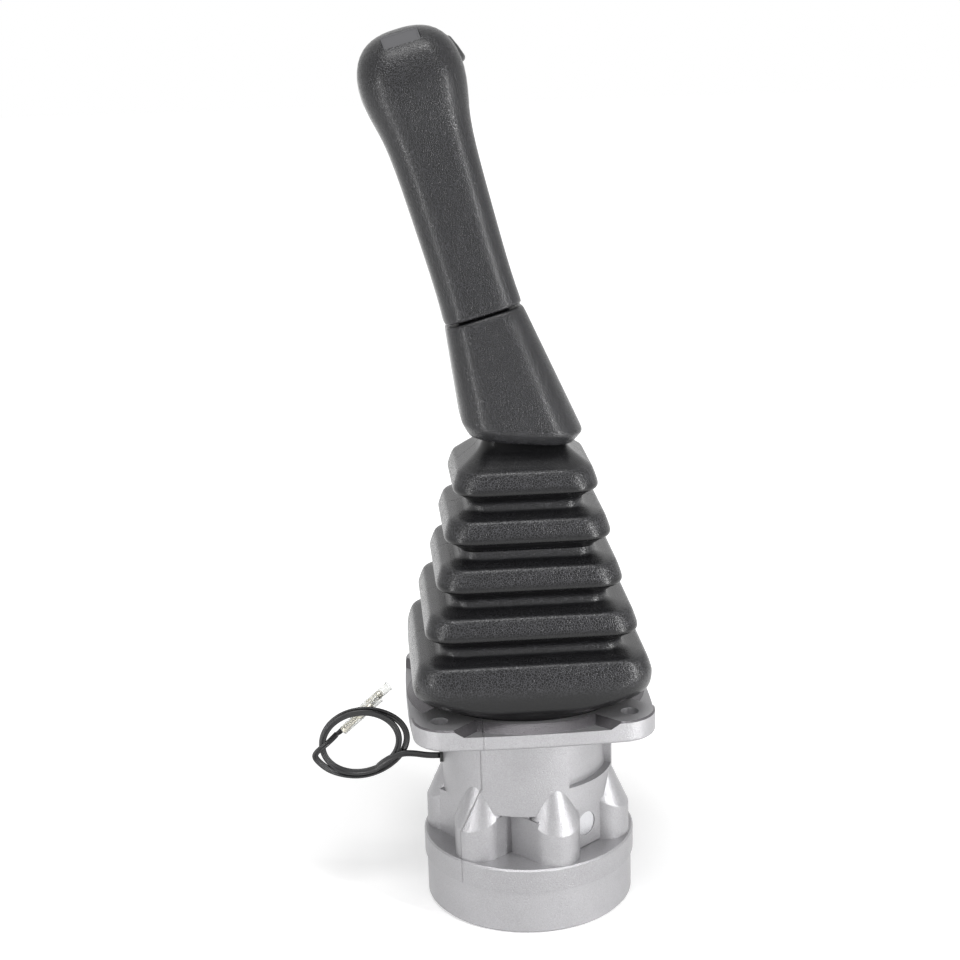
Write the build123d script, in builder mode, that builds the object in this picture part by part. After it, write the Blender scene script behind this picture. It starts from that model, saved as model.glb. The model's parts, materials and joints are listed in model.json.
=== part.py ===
from build123d import *
import os
from math import asin, cos, radians, sin, tan

# Hydraulic pilot joystick valve, in millimetres.
# Origin: centre of the port plate's underside, on the valve axis. +Z up, -Y towards the operator.
# The lever rocks about X (pitch) and Y (roll) through one pivot; four push rods stand round it.

os.makedirs("parts", exist_ok=True)

# ---- driving dimensions: housing ----
port_plate_r = 51.4
port_plate_h = 22.6
ring_r = 52.5
ring_h = 11.7
neck_r = 42.2
neck_h = 65.6
flange_h = 10.7
flange_half = 56.4
flange_bulge = 2.6
flange_corner_r = 17.0
mount_pitch = 90.0
mount_hole_r = 4.25
pad_half = 12.6
pocket_depth = 3.5
pocket_taper = 50.0
edge_chamfer = 0.8
flange_fillet = 1.6
seat_ring_r = 54.4
seat_bore_r = 51.0
seat_depth = 4.0

# ---- driving dimensions: core, bosses and webs of the casing ----
core_half = 28.8
core_h = 23.0
draw_azimuth = -50.0
boss_r = 12.0
boss_centre_r = 39.0
boss_h = 36.0
boss_roof_in = 2.9
boss_roof_r = 21.6
boss_tip_r = 5.7
boss_fillet = 1.6
boss_rib_h = 21.0
boss_rib_l = 20.0
boss_ribs = {-190: -140, -133: -140, -76: -50, -19: -50, 47: 40, 104: 130}
side_block_face = 37.1
side_block_w = 20.0
side_block_at = 15.0
notch_r = 38.8
notch_from = -67.0
notch_to = -16.0
notch_floor_h = 35.2
web_face = 39.8
web_w = 22.0
web_at = 3.0
web_h = 21.0
web_rise = 12.0
web_fillet = 1.2

# ---- driving dimensions: ports, galleries and their fasteners ----
work_port_r = 5.9
work_port_h = 12.0
supply_port_r = 7.4
supply_port_h = 13.0
supply_pitch_r = 31.0
passage_r = 2.7
gallery_r = 3.0
gallery_over_joint = 24.0
gallery_plug_r = 6.0
gallery_plug_h = 5.0
gallery_plug_sink = 0.4
gallery_inner_r = 12.0
screw_azimuth = 39.0
screw_pitch_r = 33.0
screw_r = 4.0
screw_head_r = 6.5
screw_head_h = 8.0
screw_sink = 9.0
screw_thread_h = 12.0
dowel_azimuth = 99.0
dowel_pitch_r = 46.0
dowel_r = 2.0
dowel_h = 9.0
joint_seal_r = 5.4
joint_seal_wire = 0.7
seal_groove_gap = 0.1
plate_chamfer = 1.5
socket_share = 0.87

# ---- driving dimensions: valves ----
tilt_deg = 19.0
rod_pitch_r = 21.0
dome_r = 6.0
rod_r = 4.0
rod_gap = 0.3
run_fit = 0.04
seat_fit = 0.02
clear = 0.3
plug_r = 8.5
plug_h = 16.0
plug_nose_r = 6.5
plug_nose_h = 7.0
plug_seal_wire = 0.7
plug_seal_rise = 4.5
plug_groove_share = 2.4
rod_seal_r = 5.8
rod_seal_h = 3.0
rod_seal_cover = 2.0
chamber_r = 7.8
collar_r = 6.5
collar_h = 3.0
collar_room = 0.8
spool_r = 3.5
spool_guide_h = 20.0
spool_stroke = 1.5
spool_groove_r = 2.4
spool_groove_h = 7.0
spool_shoulder_r = 4.4
spool_shoulder_h = 2.0
stem_r = 2.0
stem_head_r = 3.0
stem_head_h = 2.0
tower_r = 5.0
tower_bore_r = 3.3
tower_h = 17.8
tower_floor_h = 2.4
seat_flange_r = 7.3
seat_flange_h = 2.5
return_wire_r = 0.8
return_spring_r = 6.4
return_turns = 6
metering_wire_r = 0.5
metering_spring_r = 3.0
metering_turns = 5
wire_sides = 8

# ---- driving dimensions: universal joint, disc and nuts ----
pivot_over_plate = 17.4
retainer_h = 4.0
retainer_r = 33.5
retainer_chamfer = 0.6
joint_stud_r = 7.0
joint_stud_h = 18.0
joint_hub_r = 12.5
joint_hub_flat = 22.0
knuckle_r = 5.5
fork_gap = 6.2
fork_out = 10.5
fork_depth = 10.0
cross_half = 5.9
cross_chamfer = 0.8
hinge_pin_r = 2.5
bridge_h = 4.0
bridge_r = 12.0
head_stud_r = 6.0
head_stud_h = 28.0
disc_r = 27.5
disc_rim_h = 4.0
disc_recess_r = 14.2
disc_web_h = 4.0
disc_crown_r = 18.0
adjust_nut_flat = 24.0
adjust_nut_h = 7.0
lock_nut_flat = 19.0
lock_nut_h = 7.0

# ---- driving dimensions: lever, shroud, grip and boot ----
rod_bend_z = 235.0
rod_bend_r = 30.0
lean_x = 15.2
lean_y = 5.5
lever_r = 6.0
lever_socket_r = 9.5
lever_socket_h = 20.0
lever_in_grip = 88.0
ring_s = 61.5
parting_gap = 0.8
section_round = 0.64
grip_depth = 1.04
head_half = 25.0
grip_profile = [
    (0, 18.8), (8, 18.2), (22, 18.1), (45, 18.6), (68, 19.1), (82, 19.9), (91, 21.1), (101, 23.6),
    (111, head_half), (120.5, 24.2), (127, 21.6), (131.5, 17.5), (134.5, 12.0), (136, 6.0),
]
head_s = 172.0
shroud_rim_z = 243.2
shroud_rim_half = 28.6
shroud_rim_tilt = 5.5
shroud_lip_h = 6.5
shroud_lip_half = 24.6
shroud_wall = 2.5
boot_wall = 2.2
boot_seat_half = 50.6
boot_in_shroud = 3.8
boot_foot_share = 0.7
boot_foot_corner = 26.0
boot_shoulder_out = 2.0
neck_corner_r = 9.0
groove_corner_r = 10.0
boot_neck_half = 18.4
round_end = 0.997
fold_z = 128.0
fold_pitch = 21.7
fold_h = 11.2
fold_halves = [56.3, 50.2, 44.0, 39.3, 34.3]
fold_draft = 2.4
fold_corner_r = 13.0
groove_in = 7.5
groove_slope_top = 1.4
groove_slope_under = 3.9

# ---- driving dimensions: horn button, label plate, grommet and lead ----
button_r = 7.0
button_h = 8.0
button_proud = 1.6
button_travel = 1.2
button_fillet = 1.0
button_stem_r = 2.0
button_stem_h = 3.0
switch_gap = 0.4
button_turn = 22.0
button_rise = 20.0
switch_r = 6.0
switch_h = 12.0
label_w = 17.5
label_d = 9.0
label_h = 0.8
label_reach = 25.4
label_tilt = 42.0
label_corner_r = 0.9
grommet_z = 73.2
grommet_r = 2.6
grommet_flange_r = 3.4
grommet_plug_h = 3.0
lead_r = 1.6
lead_grip = 1.4
lead_route = [(-43.1, 0.0, 73.2), (-52.5, -0.6, 73.7), (-62.5, 0.0, 76.8)]
coil_centre = (-82.5, 81.5)
coil_radii = (24.0, 18.6)
coil_hole_radii = (15.5, 10.5)
coil_half_depth = 3.5
terminal_rear = (-88.5, 89.5)
terminal_rise = 42.7
terminal_pitch = 5.2
terminal_r = 1.9
terminal_h = 20.0
terminal_barrel_r = 1.3
sleeve_r = 2.4
sleeve_wall = 0.35
sleeve_h = 25.0
duct_r = 2.2
duct_pitch_r = 37.4

# ---- places that follow ----
ring_top = port_plate_h + ring_h
flange_under = ring_top + neck_h
flange_top = flange_under + flange_h
deck_z = flange_top - seat_depth
retainer_top = deck_z + retainer_h
pivot_z = retainer_top + pivot_over_plate
hole_at = mount_pitch / 2
tilt = radians(tilt_deg)
slide_stroke = rod_pitch_r * tan(tilt) * (1 + 1 / cos(tilt)) / 2
quarters = {"right": 0, "rear": 90, "left": 180, "front": 270}
boot_top_z = shroud_rim_z + boot_in_shroud

# ---- one valve's heights, from the top down ----
rod_top = pivot_z + dome_r - rod_gap
plug_under = deck_z - plug_h
collar_top = plug_under - slide_stroke - collar_room
collar_under = collar_top - collar_h
seat_under = collar_under - seat_flange_h
tower_under = collar_under - tower_h
tower_floor = tower_under + tower_floor_h
stem_head_z = (collar_under + tower_floor - stem_head_h) / 2
chamber_floor = port_plate_h + spool_guide_h
shoulder_under = chamber_floor + spool_stroke + clear
shoulder_top = shoulder_under + spool_shoulder_h
spool_under = port_plate_h + spool_stroke + clear


def bore_place(azimuth, radius):
    """Ground-level place at a radius and azimuth, turned so that its own X points outwards."""
    return Location((0, 0, 0), (0, 0, azimuth)) * Location((radius, 0, 0))


def round_about(places, radius, low, high):
    """Plain cylinders between two heights at each place, for holes and pins."""
    with BuildPart() as pins:
        with BuildSketch(Plane.XY.offset(low)):
            with Locations(*places):
                Circle(radius)
        extrude(amount=high - low)
    return pins.part


def ring_of(mean_r, wire_r):
    """A seal ring lying flat at the origin."""
    with BuildPart() as ring:
        with BuildSketch(Plane.XZ):
            with Locations((mean_r, 0)):
                Circle(wire_r)
        revolve(axis=Axis.Z)
    return ring.part


def coil_spring(wire_r, mean_r, turns, low, high):
    """A compression spring on the Z axis, its wire between two heights and drawn with a few sides."""
    rise = high - low - 2 * wire_r
    helix = Helix(pitch=rise / turns, height=rise, radius=mean_r, center=(0, 0, low + wire_r))
    with BuildPart() as spring:
        with BuildSketch(Plane(origin=helix @ 0, z_dir=helix % 0)):
            RegularPolygon(wire_r, wire_sides)
        sweep(path=helix, is_frenet=True)
    return spring.part


def finish_piece(piece, name):
    """Label one piece and write its STEP file."""
    piece.label = name
    export_step(piece, f"parts/{name}.step")


def radial_plane(azimuth):
    """The upright plane through the valve axis at an azimuth: its X is outwards, its Y is up."""
    turn = radians(azimuth)
    return Plane((0, 0, 0), x_dir=(cos(turn), sin(turn), 0), z_dir=(sin(turn), -cos(turn), 0))


def outward_plane(azimuth, radius, z):
    """A plane that faces away from the valve axis, at a radius and height."""
    turn = radians(azimuth)
    outwards = Vector(cos(turn), sin(turn), 0)
    return Plane(outwards * radius + Vector(0, 0, z), x_dir=(0, 0, 1), z_dir=outwards)


def lever_plane(distance):
    """The plane across the lever's upper part, at a distance above its bend."""
    origin = Vector(0, 0, rod_bend_z) + lever_axis * distance
    across = (Vector(1, 0, 0) - lever_axis * lever_axis.X).normalized()
    return Plane(origin, x_dir=across, z_dir=lever_axis)


def fork_ears(plane, depth):
    """Two ears with round ends at the pivot, from a bridge at a depth above or below it."""
    with BuildPart() as ears:
        for side in (-1, 1):
            with BuildSketch(plane.offset(side * fork_gap)):
                with Locations((0, pivot_z)):
                    Circle(knuckle_r)
                with Locations((0, pivot_z + depth / 2)):
                    Rectangle(2 * knuckle_r, abs(depth))
                with Locations((0, pivot_z)):
                    Circle(hinge_pin_r + seat_fit, mode=Mode.SUBTRACT)
            extrude(amount=side * (fork_out - fork_gap))
    return ears.part


def boot_sections(wall):
    """Height, half width and corner radius of the boot's sections, inset by a wall."""
    sections = [
        (deck_z - wall, boot_seat_half - wall, round_end * (boot_seat_half - wall)),
        (flange_top + clear, boot_seat_half - wall, round_end * (boot_seat_half - wall)),
        (fold_z - boot_foot_share * fold_h, fold_halves[0] - wall, boot_foot_corner - wall),
    ]
    for number, half in enumerate(fold_halves):
        low = fold_z + number * fold_pitch
        high = low + fold_h
        sections.append((low + wall, half - wall, fold_corner_r - wall))
        sections.append((high - wall, half - fold_draft - wall, fold_corner_r - wall))
        if number + 1 < len(fold_halves):
            groove = fold_halves[number + 1] - groove_in - wall
            sections.append((high + groove_slope_top - wall, groove, groove_corner_r - wall))
            next_low = low + fold_pitch
            sections.append((next_low - groove_slope_under + wall, groove, groove_corner_r - wall))
    neck = boot_neck_half - wall
    sections.append((high + boot_foot_share * fold_h - wall, neck + boot_shoulder_out, neck_corner_r - wall))
    sections.append((boot_top_z - 2 * wall, neck, neck_corner_r - wall))
    return sections


lever_axis = Vector(-tan(radians(lean_x)), tan(radians(lean_y)), 1).normalized()
disc_under = pivot_z + dome_r
bridge_top = pivot_z + fork_depth + bridge_h
stud_top = bridge_top + head_stud_h
socket_z = bridge_top + disc_web_h + adjust_nut_h + lock_nut_h
plug_seal_z = plug_under + plug_seal_rise
gallery_z = port_plate_h + gallery_over_joint
gallery_azimuths = (draw_azimuth, draw_azimuth + 180)
head_plane = lever_plane(head_s)
button_plane = head_plane.rotated((0, 90 - button_rise, button_turn))
button_back = head_half + button_proud - button_h
switch_back = button_back - button_travel - switch_gap - switch_h
label_plane = head_plane.rotated((label_tilt, 0, 0)).offset(label_reach - label_h)

valve_places = [bore_place(azimuth, rod_pitch_r) for azimuth in quarters.values()]
supply_places = [bore_place(azimuth, supply_pitch_r) for azimuth in gallery_azimuths]
screw_places = [bore_place(azimuth, screw_pitch_r) for azimuth in (screw_azimuth, screw_azimuth + 180)]
dowel_places = [bore_place(azimuth, dowel_pitch_r) for azimuth in (dowel_azimuth, dowel_azimuth + 180)]
mount_places = [Location((x, y, 0)) for x in (-hole_at, hole_at) for y in (-hole_at, hole_at)]

# ---- port plate: closes the casing below and carries the ports ----
with BuildPart() as port_plate:
    with BuildSketch():
        Circle(port_plate_r)
    extrude(amount=port_plate_h)
    chamfer(port_plate.faces().sort_by(Axis.Z)[0].edges(), plate_chamfer)
    add(round_about(valve_places, work_port_r, 0, work_port_h), mode=Mode.SUBTRACT)
    add(round_about(valve_places, passage_r, 0, port_plate_h), mode=Mode.SUBTRACT)
    add(round_about(supply_places, supply_port_r, 0, supply_port_h), mode=Mode.SUBTRACT)
    add(round_about(supply_places, gallery_r, 0, port_plate_h), mode=Mode.SUBTRACT)
    add(round_about(screw_places, screw_head_r + clear, 0, screw_sink), mode=Mode.SUBTRACT)
    add(round_about(screw_places, screw_r + clear, 0, port_plate_h), mode=Mode.SUBTRACT)
    add(round_about(dowel_places, dowel_r + seat_fit, port_plate_h - dowel_h / 2, port_plate_h),
        mode=Mode.SUBTRACT)
    with BuildSketch(Plane.XY.offset(port_plate_h)):
        with Locations(*valve_places, *supply_places):
            Circle(joint_seal_r + joint_seal_wire + seal_groove_gap)
            Circle(joint_seal_r - joint_seal_wire - seal_groove_gap, mode=Mode.SUBTRACT)
    extrude(amount=-2 * joint_seal_wire, mode=Mode.SUBTRACT)
finish_piece(port_plate.part, "port_plate")

with BuildPart() as port_plate_seals:
    seal_z = port_plate_h - joint_seal_wire
    with Locations(*[Location((0, 0, seal_z)) * place for place in valve_places + supply_places]):
        add(ring_of(joint_seal_r, joint_seal_wire - seat_fit))
finish_piece(port_plate_seals.part, "port_plate_seals")

with BuildPart() as port_plate_dowels:
    add(round_about(dowel_places, dowel_r, port_plate_h - dowel_h / 2, port_plate_h + dowel_h / 2))
finish_piece(port_plate_dowels.part, "port_plate_dowels")

with BuildPart() as port_plate_screws:
    with BuildSketch(Plane.XY.offset(screw_sink - screw_head_h)):
        with Locations(*screw_places):
            Circle(screw_head_r)
    extrude(amount=screw_head_h)
    with BuildSketch(Plane.XY.offset(screw_sink - screw_head_h)):
        with Locations(*screw_places):
            RegularPolygon(screw_r * socket_share, 6)
    extrude(amount=screw_head_h / 2, mode=Mode.SUBTRACT)
    with BuildSketch(Plane.XY.offset(screw_sink)):
        with Locations(*screw_places):
            Circle(screw_r)
    extrude(amount=port_plate_h - screw_sink + screw_thread_h)
finish_piece(port_plate_screws.part, "port_plate_screws")

# ---- casing: die-cast body with half-round bosses, webs, a relieved neck and the mounting flange ----
with BuildPart() as flange_blank:
    with BuildSketch(Plane.XY.offset(flange_under)) as flange_outline:
        with BuildLine():
            for turn in range(4):
                side = [(-flange_half, -flange_half), (0, -flange_half - flange_bulge), (flange_half, -flange_half)]
                ThreePointArc(*[Vector(*point).rotate(Axis.Z, 90 * turn) for point in side])
        make_face()
        fillet(flange_outline.vertices(), flange_corner_r)
    extrude(amount=flange_h)
    chamfer(flange_blank.faces().sort_by(Axis.Z)[-1].edges(), edge_chamfer)
    fillet(flange_blank.faces().sort_by(Axis.Z)[0].edges(), flange_fillet)

# Sloped pockets between the four corner pads, open at the flange's edge
with BuildPart() as pockets:
    with BuildSketch(Plane.XY.offset(flange_top)):
        Rectangle(4 * flange_half, 4 * flange_half)
        Circle(seat_ring_r, mode=Mode.SUBTRACT)
        for turn in (45, 135):
            with Locations(Location((0, 0, 0), (0, 0, turn))):
                Rectangle(6 * flange_half, 2 * pad_half, mode=Mode.SUBTRACT)
    extrude(amount=-pocket_depth, taper=pocket_taper)

# One boss at the origin, outer side towards +X: an upright cylinder under a steep cone set further in
with BuildPart() as boss:
    with BuildSketch():
        Circle(boss_r)
    extrude(amount=boss_h)
    with Locations((-boss_roof_in, 0, 0)):
        Cone(boss_roof_r, boss_tip_r, boss_h, align=(Align.CENTER, Align.CENTER, Align.MIN), mode=Mode.INTERSECT)
    fillet(boss.faces().filter_by(GeomType.CYLINDER).edges().sort_by(Axis.Z)[-1], boss_fillet)

# A web with a flat face for a gallery plug, and a roof that climbs from the face to the neck
with BuildPart() as plug_web:
    with BuildSketch(radial_plane(0)):
        with BuildLine():
            Polyline(
                (rod_pitch_r, ring_top),
                (web_face, ring_top),
                (web_face, ring_top + web_h),
                (notch_r, ring_top + web_h + web_rise),
                (rod_pitch_r, ring_top + web_h + web_rise),
                close=True,
            )
        make_face()
    extrude(amount=web_w / 2, both=True)
    fillet(plug_web.faces().sort_by(Axis.X)[-1].edges(), web_fillet)

with BuildPart() as casing:
    with BuildSketch(Plane.XY.offset(port_plate_h)):
        Circle(ring_r)
    extrude(amount=ring_h)
    chamfer(casing.faces().sort_by(Axis.Z)[-1].edges(), edge_chamfer)
    # square core round the four valves, and a block that stands out on two of its sides
    with BuildSketch(Plane.XY.offset(ring_top)):
        with Locations(Location((0, 0, 0), (0, 0, draw_azimuth))):
            Rectangle(2 * core_half, 2 * core_half)
            for side in (-1, 1):
                with Locations((side * side_block_at, side * side_block_face / 2)):
                    Rectangle(side_block_w, side_block_face)
    extrude(amount=core_h)
    with BuildSketch(Plane.XY.offset(ring_top + core_h)):
        Circle(neck_r)
    extrude(amount=flange_under - ring_top - core_h)
    for azimuth, rib_azimuth in boss_ribs.items():
        centre = bore_place(azimuth, boss_centre_r)
        add(boss.part.moved(Location((0, 0, ring_top)) * centre))
        with BuildSketch(Plane.XY.offset(ring_top)):
            with Locations(centre * Location((0, 0, 0), (0, 0, rib_azimuth - azimuth))):
                Rectangle(boss_rib_l, 2 * boss_r, align=(Align.MAX, Align.CENTER))
        extrude(amount=boss_rib_h)
    for azimuth in gallery_azimuths:
        add(plug_web.part.moved(Location((0, 0, 0), (0, 0, azimuth)) * Location((0, web_at, 0))))
    # the relieved bay in the neck
    with BuildSketch(Plane.XY.offset(ring_top + notch_floor_h)):
        with BuildLine():
            inner = CenterArc((0, 0), notch_r, notch_from, notch_to - notch_from)
            outer = CenterArc((0, 0), neck_r + boss_r, notch_from, notch_to - notch_from)
            Line(inner @ 0, outer @ 0)
            Line(inner @ 1, outer @ 1)
        make_face()
    extrude(amount=flange_under - ring_top - notch_floor_h, mode=Mode.SUBTRACT)
    add(flange_blank.part)
    add(pockets.part, mode=Mode.SUBTRACT)
    # boot seat, valve bores, joint stud and fastener holes
    add(round_about([Location()], seat_bore_r, deck_z, flange_top), mode=Mode.SUBTRACT)
    add(round_about([Location()], joint_stud_r + seat_fit, deck_z - joint_stud_h - clear, deck_z),
        mode=Mode.SUBTRACT)
    add(round_about(valve_places, plug_r + seat_fit, plug_under, deck_z), mode=Mode.SUBTRACT)
    add(round_about(valve_places, chamber_r, chamber_floor, plug_under), mode=Mode.SUBTRACT)
    add(round_about(valve_places, spool_r + run_fit, port_plate_h, chamber_floor), mode=Mode.SUBTRACT)
    add(round_about(supply_places, gallery_r, port_plate_h, gallery_z + gallery_r), mode=Mode.SUBTRACT)
    add(round_about(screw_places, screw_r + seat_fit, port_plate_h, port_plate_h + screw_thread_h + clear),
        mode=Mode.SUBTRACT)
    add(round_about(dowel_places, dowel_r + seat_fit, port_plate_h, port_plate_h + dowel_h / 2),
        mode=Mode.SUBTRACT)
    add(round_about(mount_places, mount_hole_r, flange_under, flange_top), mode=Mode.SUBTRACT)
    # cross galleries, closed by plugs, and the lead's duct up to the boot seat
    for azimuth in gallery_azimuths:
        with BuildSketch(outward_plane(azimuth, gallery_inner_r, gallery_z)):
            Circle(gallery_r)
        extrude(amount=web_face - gallery_inner_r, mode=Mode.SUBTRACT)
        with BuildSketch(outward_plane(azimuth, web_face - gallery_plug_h, gallery_z)):
            Circle(gallery_plug_r + seat_fit)
        extrude(amount=gallery_plug_h + 1, mode=Mode.SUBTRACT)
    add(round_about([bore_place(180, duct_pitch_r)], duct_r, grommet_z, deck_z), mode=Mode.SUBTRACT)
    with BuildSketch(outward_plane(180, duct_pitch_r, grommet_z)):
        Circle(grommet_r + seat_fit)
    extrude(amount=neck_r - duct_pitch_r + 1, mode=Mode.SUBTRACT)
finish_piece(casing.part, "casing")

with BuildPart() as gallery_plugs:
    for azimuth in gallery_azimuths:
        with BuildSketch(outward_plane(azimuth, web_face - gallery_plug_h, gallery_z)):
            Circle(gallery_plug_r)
        extrude(amount=gallery_plug_h - gallery_plug_sink)
finish_piece(gallery_plugs.part, "gallery_plugs")

with BuildPart() as grommet:
    with BuildSketch(outward_plane(180, neck_r - grommet_plug_h, grommet_z)):
        Circle(grommet_r)
    extrude(amount=grommet_plug_h)
    with BuildSketch(outward_plane(180, neck_r, grommet_z)):
        Circle(grommet_flange_r)
    extrude(amount=lead_grip)
    with BuildSketch(outward_plane(180, neck_r - grommet_plug_h, grommet_z)):
        Circle(lead_r + run_fit)
    extrude(amount=grommet_plug_h + lead_grip, mode=Mode.SUBTRACT)
finish_piece(grommet.part, "lead_grommet")

# ---- one valve in each quarter: guide plug, push rod, spring seat, springs and spool ----
with BuildPart() as plug:
    with BuildSketch(Plane.XZ):
        with BuildLine():
            Polyline(
                (rod_r + run_fit, plug_under),
                (plug_r, plug_under),
                (plug_r, deck_z),
                (plug_nose_r, deck_z),
                (plug_nose_r, deck_z + plug_nose_h),
                (rod_r + run_fit, deck_z + plug_nose_h),
                close=True,
            )
        make_face()
        with Locations((rod_r, deck_z - rod_seal_cover - rod_seal_h)):
            Rectangle(rod_seal_r - rod_r, rod_seal_h, align=(Align.MIN, Align.MIN), mode=Mode.SUBTRACT)
        with Locations((plug_r, plug_seal_z)):
            Rectangle(4 * plug_seal_wire, plug_groove_share * plug_seal_wire, mode=Mode.SUBTRACT)
    revolve(axis=Axis.Z)

with BuildPart() as push_rod:
    with BuildSketch(Plane.XZ):
        with BuildLine():
            dome_edge = asin(rod_r / dome_r)
            dome_points = [
                (dome_r * sin(angle), rod_top - dome_r + dome_r * cos(angle)) for angle in (dome_edge, dome_edge / 2, 0)
            ]
            Polyline(
                dome_points[2],
                (0, collar_under),
                (collar_r, collar_under),
                (collar_r, collar_top),
                (rod_r, collar_top),
                dome_points[0],
            )
            ThreePointArc(*dome_points)
        make_face()
    revolve(axis=Axis.Z)

with BuildPart() as spring_seat:
    with BuildSketch(Plane.XZ):
        with BuildLine():
            Polyline(
                (tower_bore_r, collar_under),
                (seat_flange_r, collar_under),
                (seat_flange_r, seat_under),
                (tower_r, seat_under),
                (tower_r, tower_under),
                (stem_r + clear, tower_under),
                (stem_r + clear, tower_floor),
                (tower_bore_r, tower_floor),
                close=True,
            )
        make_face()
    revolve(axis=Axis.Z)

with BuildPart() as spool:
    with BuildSketch(Plane.XZ):
        with BuildLine():
            groove_z = chamber_floor - spool_guide_h / 2
            Polyline(
                (0, spool_under),
                (spool_r, spool_under),
                (spool_r, groove_z - spool_groove_h / 2),
                (spool_groove_r, groove_z - spool_groove_h / 2),
                (spool_groove_r, groove_z + spool_groove_h / 2),
                (spool_r, groove_z + spool_groove_h / 2),
                (spool_r, shoulder_under),
                (spool_shoulder_r, shoulder_under),
                (spool_shoulder_r, shoulder_top),
                (stem_r, shoulder_top),
                (stem_r, stem_head_z),
                (stem_head_r, stem_head_z),
                (stem_head_r, stem_head_z + stem_head_h),
                (0, stem_head_z + stem_head_h),
                close=True,
            )
        make_face()
    revolve(axis=Axis.Z)

return_spring = coil_spring(return_wire_r, return_spring_r, return_turns, chamber_floor, seat_under)
metering_spring = coil_spring(metering_wire_r, metering_spring_r, metering_turns, shoulder_top, tower_under)

for quarter, place in zip(quarters, valve_places):
    finish_piece(plug.part.moved(place), f"guide_plug_{quarter}")
    finish_piece(push_rod.part.moved(place), f"push_rod_{quarter}")
    finish_piece(spring_seat.part.moved(place), f"spring_seat_{quarter}")
    finish_piece(spool.part.moved(place), f"spool_{quarter}")
    finish_piece(return_spring.moved(place), f"return_spring_{quarter}")
    finish_piece(metering_spring.moved(place), f"metering_spring_{quarter}")

with BuildPart() as rod_seals:
    with BuildSketch(Plane.XY.offset(deck_z - rod_seal_cover - rod_seal_h)):
        with Locations(*valve_places):
            Circle(rod_seal_r)
            Circle(rod_r + run_fit, mode=Mode.SUBTRACT)
    extrude(amount=rod_seal_h)
finish_piece(rod_seals.part, "rod_seals")

with BuildPart() as plug_seals:
    with Locations(*[Location((0, 0, plug_seal_z)) * place for place in valve_places]):
        add(ring_of(plug_r - plug_seal_wire, plug_seal_wire - seat_fit))
finish_piece(plug_seals.part, "plug_seals")

# ---- retaining plate over the four plugs ----
with BuildPart() as retaining_plate:
    with BuildSketch(Plane.XY.offset(deck_z)):
        Circle(retainer_r)
        Circle(joint_stud_r + clear / 2, mode=Mode.SUBTRACT)
        with Locations(*valve_places):
            Circle(plug_nose_r + clear / 2, mode=Mode.SUBTRACT)
    extrude(amount=retainer_h)
    chamfer(retaining_plate.faces().sort_by(Axis.Z)[-1].outer_wire().edges(), retainer_chamfer)
finish_piece(retaining_plate.part, "retaining_plate")

# ---- universal joint: lower fork with its stud, cross, pins and upper fork ----
with BuildPart() as joint_base:
    with BuildSketch(Plane.XY.offset(deck_z - joint_stud_h)):
        Circle(joint_stud_r)
    extrude(amount=joint_stud_h + retainer_h)
    with BuildSketch(Plane.XY.offset(retainer_top)):
        Circle(joint_hub_r)
        Rectangle(3 * joint_hub_r, joint_hub_flat, mode=Mode.INTERSECT)
    extrude(amount=pivot_z - fork_depth - retainer_top)
    add(fork_ears(Plane.YZ, -fork_depth))
finish_piece(joint_base.part, "joint_base")

with BuildPart() as joint_cross:
    with Locations((0, 0, pivot_z)):
        Box(2 * cross_half, 2 * cross_half, 2 * knuckle_r)
    chamfer(joint_cross.edges(), cross_chamfer)
    for plane in (Plane.YZ, Plane.XZ):
        with BuildSketch(plane):
            with Locations((0, pivot_z)):
                Circle(hinge_pin_r + run_fit)
        extrude(amount=2 * cross_half, both=True, mode=Mode.SUBTRACT)
finish_piece(joint_cross.part, "joint_cross")

with BuildPart() as pitch_pin:
    with BuildSketch(Plane.YZ):
        with Locations((0, pivot_z)):
            Circle(hinge_pin_r)
    extrude(amount=fork_out, both=True)
finish_piece(pitch_pin.part, "pitch_pin")

with BuildPart() as roll_pins:
    for side in (-1, 1):
        with BuildSketch(Plane.XZ.offset(side * (hinge_pin_r + 2 * clear))):
            with Locations((0, pivot_z)):
                Circle(hinge_pin_r)
        extrude(amount=side * (fork_out - hinge_pin_r - 2 * clear))
finish_piece(roll_pins.part, "roll_pins")

with BuildPart() as joint_head:
    add(fork_ears(Plane.XZ, fork_depth))
    with BuildSketch(Plane.XY.offset(pivot_z + fork_depth)):
        Circle(bridge_r)
    extrude(amount=bridge_h)
    with BuildSketch(Plane.XY.offset(bridge_top)):
        Circle(head_stud_r)
    extrude(amount=head_stud_h)
finish_piece(joint_head.part, "joint_head")

# ---- cam disc and the two nuts on the upper stud ----
with BuildPart() as cam_disc:
    with BuildSketch(Plane.XZ):
        with BuildLine():
            Polyline(
                (disc_recess_r, disc_under),
                (disc_r, disc_under),
                (disc_r, disc_under + disc_rim_h),
                (disc_crown_r, bridge_top + disc_web_h),
                (head_stud_r + seat_fit, bridge_top + disc_web_h),
                (head_stud_r + seat_fit, bridge_top),
                (disc_recess_r, bridge_top),
                close=True,
            )
        make_face()
    revolve(axis=Axis.Z)
finish_piece(cam_disc.part, "cam_disc")

for name, low, flat, height in (
    ("adjusting_nut", bridge_top + disc_web_h, adjust_nut_flat, adjust_nut_h),
    ("lock_nut", bridge_top + disc_web_h + adjust_nut_h, lock_nut_flat, lock_nut_h),
):
    with BuildPart() as nut:
        with BuildSketch(Plane.XY.offset(low)):
            RegularPolygon(flat / 2, 6, major_radius=False)
            Circle(head_stud_r + seat_fit, mode=Mode.SUBTRACT)
        extrude(amount=height)
    finish_piece(nut.part, name)

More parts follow.
